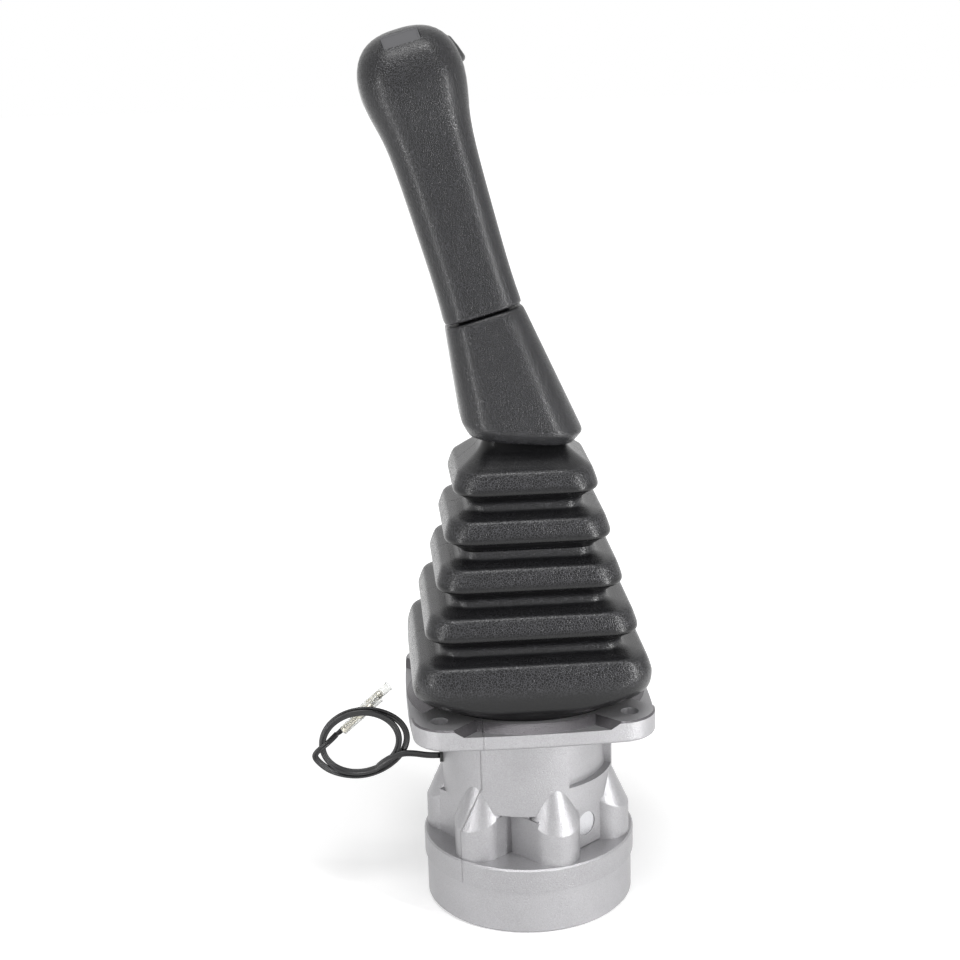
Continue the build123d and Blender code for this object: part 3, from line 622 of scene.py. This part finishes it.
boot_rubber = grained_rubber("boot rubber", 0.004, 0.22, 900.0, 0.00004, painted=True)
grip_rubber = grained_rubber("grip rubber", 0.004, 0.22, 1100.0, 0.00004)
seal_rubber = smooth_plastic("seal rubber", (0.02, 0.02, 0.02), 0.5)
sheath = smooth_plastic("lead sheath", (0.012, 0.012, 0.013), 0.33)
label_plastic = smooth_plastic("bare label", (0.09, 0.09, 0.095), 0.5)
button_plastic = smooth_plastic("button", (0.02, 0.02, 0.021), 0.38)
clear_tube = clear_plastic("clear sleeve")

# %% Give every CAD piece its finish by the record's slots
slot_finish = {
    "cast_aluminium": casting,
    "machined_aluminium": turned_plate,
    "ground_steel": ground_steel,
    "zinc_steel": zinc_steel,
    "black_rubber_seal": seal_rubber,
    "dark_steel": dark_steel,
    "boot_rubber": boot_rubber,
    "grip_rubber": grip_rubber,
    "label_plastic": label_plastic,
    "button_plastic": button_plastic,
    "lead_sheath": sheath,
    "tinned_brass": tinned,
    "clear_sleeve": clear_tube,
    "bronze_plug": bronze,
    "spring_steel": spring_steel,
}
for subpart in frame["record"]["subparts"]:
    cad_node = nodes[subpart["node"]]
    cad_node.data.materials.clear()
    cad_node.data.materials.append(slot_finish[subpart["material_slot"]])

# %% [markdown]
# ## Loft: the one shape helper
#
# The boot, the skirt and the grip are all stacks of rounded squares. A spin can't make a square, and a
# subdivided cube loses its corners. So each section starts as a circle from a bmesh operator, its
# points are pushed out to a rounded square, and neighbouring sections are bridged.


# %% Helpers that loft rounded squares
def rounded_square(angle, half, corner):
    """How far out a rounded square of a half width and corner radius lies at an angle."""
    ahead = max(abs(math.cos(angle)), abs(math.sin(angle)))
    aside = min(abs(math.cos(angle)), abs(math.sin(angle)))
    flat = half - corner
    if aside * half <= flat * ahead:
        return half / ahead
    lean = flat * (ahead + aside)
    return lean + math.sqrt(max(lean * lean - 2 * flat * flat + corner * corner, 0.0))


corner_gather = 0.17


def loft(bm, sections, place, count=128):
    """Bridge closed rings through sections. place(section, angle) is where each point goes."""
    previous = []
    for section in sections:
        ring = bmesh.ops.create_circle(bm, segments=count, radius=1.0)["verts"]
        for vertex in ring:
            angle = math.atan2(vertex.co.y, vertex.co.x)
            vertex.co = place(section, angle + corner_gather * math.sin(4 * angle))
        edges = list({edge for vertex in ring for edge in vertex.link_edges})
        if previous:
            bmesh.ops.bridge_loops(bm, edges=previous + edges)
        previous = edges
    bmesh.ops.recalc_face_normals(bm, faces=bm.faces)
    return previous


def wall_and_smooth(piece, depth=None):
    """Give a skin a wall on its inside where a depth is given, then one subdivision."""
    if depth is not None:
        wall = piece.modifiers.new("wall", "SOLIDIFY")
        wall.thickness = depth
        wall.offset = -1.0
    finer = piece.modifiers.new("finer", "SUBSURF")
    finer.levels = finer.render_levels = 1


# %% [markdown]
# ## The boot
#
# The boot is one rubber moulding of five square folds that shrink upwards, on a round foot that sits in
# the flange. It has to bend both ways, and the joint inside has two pins, so the boot is made in two
# halves that meet in the groove between the third and the fourth fold.

# %% Measure the boot from the frame
boot_low, boot_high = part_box("boot")
fold_halves = [0.0563, 0.0502, 0.0440, 0.0393, 0.0343]
fold_start = 0.1280
fold_pitch = 0.0217
fold_height = 0.0112
fold_draft = 0.0024
fold_corner = 0.0130
groove_in = 0.0075
neck_half = 0.0184
boot_wall = 0.0016
foot_half = 0.0506
foot_top = casting_high.z + 0.0003


def fold_sections(number):
    """One fold from its lip up to the groove above: height, half width, corner radius, grain."""
    half = fold_halves[number]
    low = fold_start + number * fold_pitch
    high = low + fold_height
    top_half = half - fold_draft
    rows = [
        (low - 0.0004, half - 0.0030, fold_corner - 0.0024, 0.0),
        (low, half - 0.0013, fold_corner - 0.0010, 0.0),
        (low + 0.0012, half - 0.0002, fold_corner, 0.0),
        (low + 0.0028, half - 0.0002, fold_corner, 0.25),
        (low + 0.0042, half - 0.0006, fold_corner, 1.0),
        (high - 0.0020, top_half + 0.0002, fold_corner, 1.0),
        (high - 0.0005, top_half - 0.0008, fold_corner, 0.9),
        (high + 0.0003, top_half - 0.0024, fold_corner - 0.0010, 0.35),
    ]
    if number + 1 < len(fold_halves):
        groove = fold_halves[number + 1] - groove_in
        rows += [
            (high + 0.0012, groove + 0.0016, fold_corner - 0.0030, 0.3),
            (high + 0.0022, groove + 0.0004, fold_corner - 0.0036, 0.5),
            (high + 0.0034, groove, fold_corner - 0.0038, 1.0),
            (low + fold_pitch - 0.0052, groove, fold_corner - 0.0038, 1.0),
            (low + fold_pitch - 0.0040, groove + 0.0005, fold_corner - 0.0036, 0.4),
            (low + fold_pitch - 0.0030, groove + 0.0018, fold_corner - 0.0032, 0.0),
        ]
    return rows


foot_rows = [
    (boot_low.z, foot_half - 0.0002, foot_half - 0.0003, 0.0),
    (foot_top, foot_half, foot_half - 0.0002, 0.0),
    (foot_top + 0.0016, 0.0520, 0.0460, 0.0),
    (foot_top + 0.0046, 0.0545, 0.0370, 0.0),
    (foot_top + 0.0082, 0.0562, 0.0280, 0.0),
    (foot_top + 0.0125, 0.0566, 0.0210, 0.1),
    (fold_start + 0.0016, 0.0564, 0.0160, 1.0),
]
boot_rows = foot_rows + fold_sections(0)[4:]
for number in range(1, len(fold_halves)):
    boot_rows += fold_sections(number)
last_top = boot_rows[-1][0]
boot_rows += [
    (last_top + 0.0022, neck_half + 0.0085, 0.0105, 0.3),
    (last_top + 0.0060, neck_half + 0.0030, 0.0095, 0.2),
    (last_top + 0.0100, neck_half + 0.0006, 0.0090, 0.0),
    (boot_high.z - 0.0040, neck_half, 0.0090, 0.0),
]


# %% Model the two halves of the boot
def boot_place(section, angle):
    """A point of the boot's skin."""
    height, half, corner, _ = section
    reach = rounded_square(angle, half, corner)
    return Vector((reach * math.cos(angle), reach * math.sin(angle), height))


def paint_grain(piece, rows):
    """Store each row's share of grain on the mesh's points."""
    heights = [row[0] for row in rows]
    values = [row[3] for row in rows]
    attribute = piece.data.attributes.new("grain", "FLOAT", "POINT")
    for index, vertex in enumerate(piece.data.vertices):
        nearest = min(range(len(heights)), key=lambda number: abs(heights[number] - vertex.co.z))
        attribute.data[index].value = values[nearest]


def boot_half(name, rows):
    """One half of the boot as a shell with a wall."""
    bm = bmesh.new()
    loft(bm, rows, boot_place)
    piece = mesh_object(name, bm)
    paint_grain(piece, rows)
    wall_and_smooth(piece, boot_wall)
    piece.data.materials.append(boot_rubber)
    return piece


split_z = fold_start + 2 * fold_pitch + fold_height + 0.0060
split_row = (split_z, fold_halves[3] - groove_in, fold_corner - 0.0038, 1.0)
lower_rows = [row for row in boot_rows if row[0] < split_z] + [split_row]
upper_rows = [split_row] + [row for row in boot_rows if row[0] > split_z]
lower_boot = boot_half("boot_lower_half", lower_rows)
upper_boot = boot_half("boot_upper_half", upper_rows)
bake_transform(lower_boot)
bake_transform(upper_boot)
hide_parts("boot")

# %% [markdown]
# ## The springs under the lever
#
# Each quarter holds a return spring round its push rod and a metering spring on its spool. A spring
# shortens as its rod goes down: its foot stays and its head goes with the rod. Real coils close up evenly.
# The foot of a metering spring stands on the spool, which goes a fifth of the way. Here each spring is
# wound from round wire into the space of the imported one, and the wound springs stay at that length.

# %% Wind the springs
quarters = ("front", "rear", "left", "right")
steps_a_turn = 24
wire_sides = 12
return_wire_r, return_turns = 0.0008, 6
metering_wire_r, metering_turns = 0.0005, 5


def wind_spring(name, wire_r, turns):
    """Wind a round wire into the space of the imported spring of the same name."""
    low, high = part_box(name)
    centre = (low + high) / 2
    mean_r = (high.x - low.x) / 2 - wire_r
    steps = round(turns * steps_a_turn)
    rise = (high.z - low.z - 2 * wire_r) / steps
    bm = bmesh.new()
    start = Matrix.Translation((centre.x + mean_r, centre.y, low.z + wire_r))
    upright = Matrix.Rotation(math.pi / 2, 4, "X")
    bmesh.ops.create_circle(bm, segments=wire_sides, radius=wire_r, matrix=start @ upright)
    bmesh.ops.spin(
        bm, geom=bm.verts[:] + bm.edges[:], cent=(centre.x, centre.y, 0), axis=(0, 0, 1),
        dvec=(0, 0, rise), angle=turns * 2 * math.pi, steps=steps,
    )
    bmesh.ops.holes_fill(bm, edges=[edge for edge in bm.edges if edge.is_boundary])
    bmesh.ops.recalc_face_normals(bm, faces=bm.faces)
    spring = mesh_object(f"{name}_wound", bm)
    spring.data.materials.append(spring_steel)
    return spring, low.z, high.z


for quarter in quarters:
    spring, foot, head = wind_spring(f"return_spring_{quarter}", return_wire_r, return_turns)
    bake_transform(spring)
    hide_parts(f"return_spring_{quarter}")
    spring, foot, head = wind_spring(f"metering_spring_{quarter}", metering_wire_r, metering_turns)
    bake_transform(spring)
    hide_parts(f"metering_spring_{quarter}")

# %% [markdown]
# ## The skirt and the hand grip
#
# Above the boot the lever leans to the left and a little away. A moulded skirt widens down to the boot,
# and a grip swells into a round head over it, with a narrow gap between the two. Both are rounded
# squares stacked along the leaning axis, so each section gets a frame of its own to stand in. The grip's
# first rows are a narrow collar that keeps the gap from being seen through. The head also needs a bore
# for the button and a pocket for the label, and a boolean cuts those cleanly.


# %% Frames along the leaning lever
lean_left = math.radians(15.2)
lean_back = math.radians(5.5)
bend_point = Vector((0.0, 0.0, 0.235))
lever_way = Vector((-math.tan(lean_left), math.tan(lean_back), 1.0)).normalized()
gap_at = 0.0615
head_at = 0.172
grip_depth = 1.04
section_round = 0.64


def lever_frame(distance):
    """A frame across the lever, at a distance above its bend, whose Z runs up the lever."""
    right = (Vector((1, 0, 0)) - lever_way * lever_way.x).normalized()
    turn = Matrix((right, lever_way.cross(right), lever_way)).transposed()
    return Matrix.Translation(bend_point + lever_way * distance) @ turn.to_4x4()


def frame_point(place, half, angle, lift=0.0):
    """A point of a rounded square that stands in a frame."""
    reach = rounded_square(angle, half, section_round * half)
    return place @ Vector((reach * math.cos(angle), reach * math.sin(angle) * grip_depth, lift))


def finished(piece):
    """Apply the modifiers by taking the mesh that they make."""
    bpy.context.view_layer.update()
    solved = piece.evaluated_get(bpy.context.evaluated_depsgraph_get())
    mesh = bpy.data.meshes.new_from_object(solved)
    piece.modifiers.clear()
    piece.data = mesh
    return piece


# %% Model the skirt
skirt_frame = Matrix.Translation((0.0, 0.0, 0.2432)) @ Matrix.Rotation(math.radians(5.5), 4, "Y")
skirt_top = lever_frame(gap_at - 0.0009)
skirt_half = 0.0286
grip_half = 0.0188


def skirt_place(section, angle):
    """A point between the skirt's rim and its top: share of the way up, the two half widths, drop."""
    share, low_half, high_half, drop = section
    low = frame_point(skirt_frame, low_half, angle, -drop)
    return low.lerp(frame_point(skirt_top, high_half, angle), share)


skirt_rows = [
    (0.000, skirt_half - 0.0040, grip_half, 0.0065),
    (0.000, skirt_half - 0.0014, grip_half, 0.0022),
    (0.000, skirt_half - 0.0005, grip_half, 0.0009),
    (0.005, skirt_half - 0.0001, grip_half, 0.0001),
    (0.035, skirt_half, grip_half, 0.0),
    (0.080, skirt_half, grip_half, 0.0),
]
skirt_rows += [(0.08 + 0.086 * step, skirt_half, grip_half, 0.0) for step in range(1, 10)]
skirt_rows += [
    (0.930, skirt_half, grip_half, 0.0),
    (0.980, skirt_half, grip_half - 0.0001, 0.0),
    (0.996, skirt_half, grip_half - 0.0004, 0.0),
    (1.000, skirt_half, grip_half - 0.0012, 0.0),
    (1.000, skirt_half, 0.0090, 0.0),
    (1.000, skirt_half, 0.0062, 0.0),
]
skirt_wall = 0.0018
bm = bmesh.new()
loft(bm, skirt_rows, skirt_place, count=96)
skirt = mesh_object("lever_skirt", bm)
wall_and_smooth(skirt, skirt_wall)
skirt.data.materials.append(grip_rubber)
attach(skirt, "lever")
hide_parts("shroud")

# %% Loft the grip
grip_rows = [
    (-0.0034, 0.0112), (-0.0030, 0.0118), (-0.0002, 0.0120), (0.0000, 0.0150), (0.0000, 0.0174),
    (0.0004, 0.0184), (0.0013, 0.0188), (0.0080, 0.0183), (0.0220, 0.0181), (0.0450, 0.0186),
    (0.0680, 0.0191), (0.0820, 0.0199), (0.0910, 0.0211),
    (0.1005, 0.0234), (0.1100, 0.0248), (0.1190, 0.0240), (0.1255, 0.0215), (0.1303, 0.0176),
    (0.1334, 0.0125), (0.1348, 0.0066), (0.1351, 0.0025),
]


def grip_place(section, angle):
    """A point of the grip's skin."""
    height, half = section
    return frame_point(lever_frame(gap_at), half, angle, height)


bm = bmesh.new()
top_edges = loft(bm, grip_rows, grip_place, count=96)
bmesh.ops.contextual_create(bm, geom=top_edges)
foot_edges = [edge for edge in bm.edges if edge.is_boundary]
bmesh.ops.contextual_create(bm, geom=foot_edges)
bmesh.ops.recalc_face_normals(bm, faces=bm.faces)
grip = mesh_object("hand_grip", bm)
wall_and_smooth(grip)
finished(grip)

# %% Cut the button's bore and the label's pocket
press = next(joint for joint in frame["record"]["behaviour"]["joints"] if joint["name"] == "horn_press")
press_turn = Vector(press["axis"]).to_track_quat("Z", "Y").to_matrix().to_4x4()
button_frame = Matrix.Translation(lever_frame(head_at).translation) @ press_turn
button_r = 0.0070
button_h = 0.0080
button_top = 0.0266
button_round = 0.0022
stem_r = 0.0020
stem_h = 0.0030
bore_low = 0.0050
label_tilt = math.radians(42)
label_frame = lever_frame(head_at) @ Matrix.Rotation(label_tilt, 4, "X")
label_low = 0.0241
label_w = 0.0175
label_d = 0.0090
label_h = 0.0017
label_corner = 0.0009
play = 0.0003


def round_bar(bm, place, radius, low, high):
    """A capped cylinder between two heights of a frame."""
    middle_height = Matrix.Translation((0, 0, (low + high) / 2))
    return bmesh.ops.create_cone(
        bm, cap_ends=True, segments=96, radius1=radius, radius2=radius, depth=high - low,
        matrix=place @ middle_height,
    )["verts"]


def block(bm, place, width, depth, corner, low, high):
    """A block with rounded upright edges between two heights of a frame."""
    size = Matrix.Diagonal((width, depth, high - low, 1.0))
    made = bmesh.ops.create_cube(bm, size=1.0, matrix=Matrix.Translation((0, 0, (low + high) / 2)) @ size)
    upright = [
        edge for edge in {edge for vertex in made["verts"] for edge in vertex.link_edges}
        if abs(edge.verts[0].co.z - edge.verts[1].co.z) > (high - low) / 2
    ]
    bmesh.ops.bevel(
        bm, geom=upright, offset=corner, segments=4, profile=0.5, affect="EDGES", material=-1,
    )
    bmesh.ops.transform(bm, matrix=place, verts=bm.verts)


def cut(piece, bm):
    """Cut a closed bmesh out of a piece."""
    tool = mesh_object("cutter", bm, smooth=False)
    change = piece.modifiers.new("cut", "BOOLEAN")
    change.operation = "DIFFERENCE"
    change.solver = "EXACT"
    change.object = tool
    finished(piece)
    bpy.data.objects.remove(tool)


bm = bmesh.new()
round_bar(bm, button_frame, button_r + play, bore_low, 2 * button_top)
cut(grip, bm)
bm = bmesh.new()
block(bm, label_frame, label_w + play, label_d + play, label_corner, label_low, 2 * label_low)
cut(grip, bm)
grip.data.shade_smooth()
grip.data.set_sharp_from_angle(angle=math.radians(38))
grip.data.materials.append(grip_rubber)
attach(grip, "lever")
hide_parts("grip")

# %% [markdown]
# ## The button and the label plate
#
# The horn button is a plain round cap with a rounded edge and a slight crown. The label is a
# thin plastic plate glued into its pocket. It carries nothing here but a narrow raised border.

# %% Model the button and the label plate
bm = bmesh.new()
round_bar(bm, Matrix(), button_r, button_top - button_h, button_top)
rim = [edge for edge in bm.edges if all(abs(vertex.co.z - button_top) < 1e-6 for vertex in edge.verts)]
bmesh.ops.bevel(bm, geom=rim, offset=button_round, segments=7, profile=0.5, affect="EDGES", material=-1)
lid = max(bm.faces, key=lambda face: face.calc_center_median().z)
for reach, sink in ((0.0012, 0.0), (0.0016, 0.0001), (0.0016, 0.0001)):
    bmesh.ops.inset_region(bm, faces=[lid], thickness=reach, depth=sink)
round_bar(bm, Matrix(), stem_r, button_top - button_h - stem_h, button_top - button_h)
bmesh.ops.transform(bm, matrix=button_frame, verts=bm.verts)
button = mesh_object("horn_cap", bm)
button.data.set_sharp_from_angle(angle=math.radians(40))
button.data.materials.append(button_plastic)
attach(button, "horn_button")
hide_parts("horn_button")

bm = bmesh.new()
block(bm, Matrix(), label_w, label_d, label_corner, label_low, label_low + label_h)
face = max(bm.faces, key=lambda face: face.calc_center_median().z)
for reach, sink in ((0.0002, 0.0001), (0.0005, 0.0), (0.0002, -0.0002)):
    bmesh.ops.inset_region(bm, faces=[face], thickness=reach, depth=sink)
bmesh.ops.transform(bm, matrix=label_frame, verts=bm.verts)
label = mesh_object("bare_label", bm, smooth=False)
label.data.materials.append(label_plastic)
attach(label, "lever")
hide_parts("label_plate")

# %% [markdown]
# ## The lead
#
# A thin flat twin lead leaves the neck under the flange. It lies in a little over two loose turns beside
# the neck and ends in two bullet terminals in clear sleeves. It could be a curve with a round bevel, but
# a twin lead is two cores side by side, so its section is lofted along the spline's own points.

# %% Lay the lead's route
exit_point = Vector((-0.0431, 0.0, 0.0732))
coil_centre = Vector((-0.0825, 0.0, 0.0824))
coil_tilt = Matrix.Rotation(math.radians(-8), 3, "Y")
first_angle = math.radians(-72)
points_a_turn = 16
# turns made so far, half width, half height, and how far behind the neck's middle the strand lies
loop_knots = [
    (0.00, 0.0188, 0.0156, -0.0010),
    (0.50, 0.0196, 0.0168, -0.0019),
    (1.00, 0.0192, 0.0156, -0.0002),
    (1.50, 0.0198, 0.0172, 0.0000),
    (1.85, 0.0236, 0.0178, 0.0020),
    (2.10, 0.0226, 0.0184, 0.0010),
    (2.26, 0.0234, 0.0172, -0.0026),
]
route = [
    exit_point,
    Vector((-0.0490, -0.0002, 0.0734)),
    Vector((-0.0560, -0.0006, 0.0752)),
    Vector((-0.0625, -0.0010, 0.0758)),
    Vector((-0.0690, -0.0012, 0.0735)),
    Vector((-0.0740, -0.0012, 0.0700)),
]
steps = round(loop_knots[-1][0] * points_a_turn)
for step in range(steps + 1):
    turns = loop_knots[-1][0] * step / steps
    later = next(number for number in range(1, len(loop_knots)) if turns <= loop_knots[number][0] + 1e-9)
    before, after = loop_knots[later - 1], loop_knots[later]
    share = (turns - before[0]) / (after[0] - before[0])
    ease = share * share * (3 - 2 * share)
    wide, tall, behind = (before[part] + (after[part] - before[part]) * ease for part in (1, 2, 3))
    angle = first_angle - turns * 2 * math.pi
    along = coil_tilt @ Vector((wide * math.cos(angle), 0.0, tall * math.sin(angle)))
    route.append(coil_centre + along + Vector((0.0, behind, 0.0)))
route += [
    Vector((-0.1056, -0.0034, 0.0782)),
    Vector((-0.1034, -0.0032, 0.0808)),
    Vector((-0.1000, -0.0016, 0.0826)),
    Vector((-0.0968, 0.0014, 0.0842)),
    Vector((-0.0944, 0.0040, 0.0856)),
]


def spline_points(points):
    """The smooth line of a NURBS spline that has these points as its control points."""
    curve = bpy.data.curves.new("route", "CURVE")
    curve.dimensions = "3D"
    curve.resolution_u = 6
    spline = curve.splines.new("NURBS")
    spline.points.add(len(points) - 1)
    for control, point in zip(spline.points, points):
        control.co = (*point, 1.0)
    spline.order_u = 3
    spline.use_endpoint_u = True
    holder = bpy.data.objects.new("route", curve)
    line = bpy.data.meshes.new_from_object(holder)
    result = [vertex.co.copy() for vertex in line.vertices]
    bpy.data.objects.remove(holder)
    bpy.data.curves.remove(curve)
    return result


lead_line = spline_points(route)


# %% Loft the twin lead along it
core_r = 0.0008


def twin_outline(angle):
    """Two round cores side by side with a shallow waist between them."""
    x = 2 * core_r * math.cos(angle)
    y = math.sqrt(max(core_r**2 - (abs(x) - core_r) ** 2, (0.5 * core_r) ** 2 if abs(x) < core_r else 0.0))
    return x, math.copysign(y, math.sin(angle))


def tube(name, line, outline, roll, count=20):
    """Loft an outline along a line. roll(share) turns it about the line, in radians."""
    rings = []
    for index, point in enumerate(line):
        before = line[max(index - 1, 0)]
        after = line[min(index + 1, len(line) - 1)]
        ahead = (after - before).normalized()
        side = ahead.cross(Vector((0, 1, 0))).normalized()
        up = side.cross(ahead)
        twist = Matrix.Rotation(roll(index / (len(line) - 1)), 3, ahead)
        rings.append((point, twist @ side, twist @ up))
    bm = bmesh.new()
    previous = []
    for point, side, up in rings:
        ring = bmesh.ops.create_circle(bm, segments=count, radius=1.0)["verts"]
        for vertex in ring:
            x, y = outline(math.atan2(vertex.co.y, vertex.co.x))
            vertex.co = point + side * x + up * y
        edges = list({edge for vertex in ring for edge in vertex.link_edges})
        if previous:
            bmesh.ops.bridge_loops(bm, edges=previous + edges)
        else:
            bmesh.ops.contextual_create(bm, geom=edges)
        previous = edges
    bmesh.ops.contextual_create(bm, geom=previous)
    bmesh.ops.recalc_face_normals(bm, faces=bm.faces)
    return mesh_object(name, bm)


lead_piece = tube("twin_lead", lead_line, twin_outline, lambda share: 0.5 * math.sin(9 * share))
lead_piece.data.materials.append(sheath)
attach(lead_piece, "valve_body")
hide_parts("lead", "lead_coil")

# %% [markdown]
# ## The bullet terminals and their sleeves
#
# Past the loops the two cores part, and each ends in a crimped bullet terminal inside a clear sleeve.
# Both are turned shapes, so one half profile is spun about the terminal's own axis.

# %% Spin the terminals, sleeves and core tails
terminal_rise = math.radians(41)
terminal_ends = [Vector((-0.0910, 0.0058, 0.0868)), Vector((-0.0862, 0.0100, 0.0912))]
terminal_profile = [
    (0.0, 0.0000), (0.0016, 0.0000), (0.0018, 0.0006), (0.0018, 0.0036), (0.0014, 0.0042),
    (0.0014, 0.0086), (0.0010, 0.0092), (0.0010, 0.0102), (0.0019, 0.0108), (0.0019, 0.0136),
    (0.0015, 0.0142), (0.0015, 0.0150), (0.0019, 0.0156), (0.0019, 0.0184), (0.0016, 0.0195),
    (0.0009, 0.0200), (0.0, 0.0200),
]
sleeve_profile = [
    (0.00205, 0.0002), (0.00230, 0.0000), (0.00240, 0.0006), (0.00240, 0.0120), (0.00225, 0.0132),
    (0.00225, 0.0230), (0.00240, 0.0248), (0.00215, 0.0250), (0.00195, 0.0232), (0.00195, 0.0134),
    (0.00205, 0.0118), (0.00205, 0.0002),
]


def turned(name, profile, places, finish):
    """Spin a half profile about each place's own Z axis."""
    bm = bmesh.new()
    for place in places:
        points = [bm.verts.new((reach, 0.0, height)) for reach, height in profile]
        lines = [bm.edges.new(pair) for pair in zip(points, points[1:])]
        made = bmesh.ops.spin(
            bm, geom=points + lines, cent=(0, 0, 0), axis=(0, 0, 1), angle=2 * math.pi, steps=32,
            use_merge=True, use_duplicate=False,
        )
        loose = [vertex for vertex in bm.verts if not vertex.tag]
        bmesh.ops.remove_doubles(bm, verts=loose, dist=1e-6)
        loose = [vertex for vertex in bm.verts if not vertex.tag]
        bmesh.ops.transform(bm, matrix=place, verts=loose)
        for vertex in loose:
            vertex.tag = True
    bmesh.ops.recalc_face_normals(bm, faces=bm.faces)
    piece = mesh_object(name, bm)
    piece.data.set_sharp_from_angle(angle=math.radians(50))
    piece.data.materials.append(finish)
    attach(piece, "valve_body")
    return piece


aim = Vector((math.cos(terminal_rise), 0.0, math.sin(terminal_rise)))
aim_turn = aim.to_track_quat("Z", "Y").to_matrix().to_4x4()
places = [Matrix.Translation(end) @ aim_turn for end in terminal_ends]
terminals = turned("bullet_pins", terminal_profile, places, tinned)
sleeves = turned("clear_sleeves", sleeve_profile, places, clear_tube)
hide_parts("bullet_terminals")
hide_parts("terminal_sleeves")

def core_outline(angle):
    """One round core."""
    return core_r * math.cos(angle), core_r * math.sin(angle)


for number, end in enumerate(terminal_ends):
    start = lead_line[-1] + Vector((0, core_r if number else -core_r, 0))
    knots = [start - aim * 0.001, start.lerp(end, 0.35), end - aim * 0.002, end + aim * 0.003]
    tail = tube(f"core_tail_{number + 1}", spline_points(knots), core_outline, lambda share: 0.0, count=12)
    tail.data.materials.append(sheath)
    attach(tail, "valve_body")
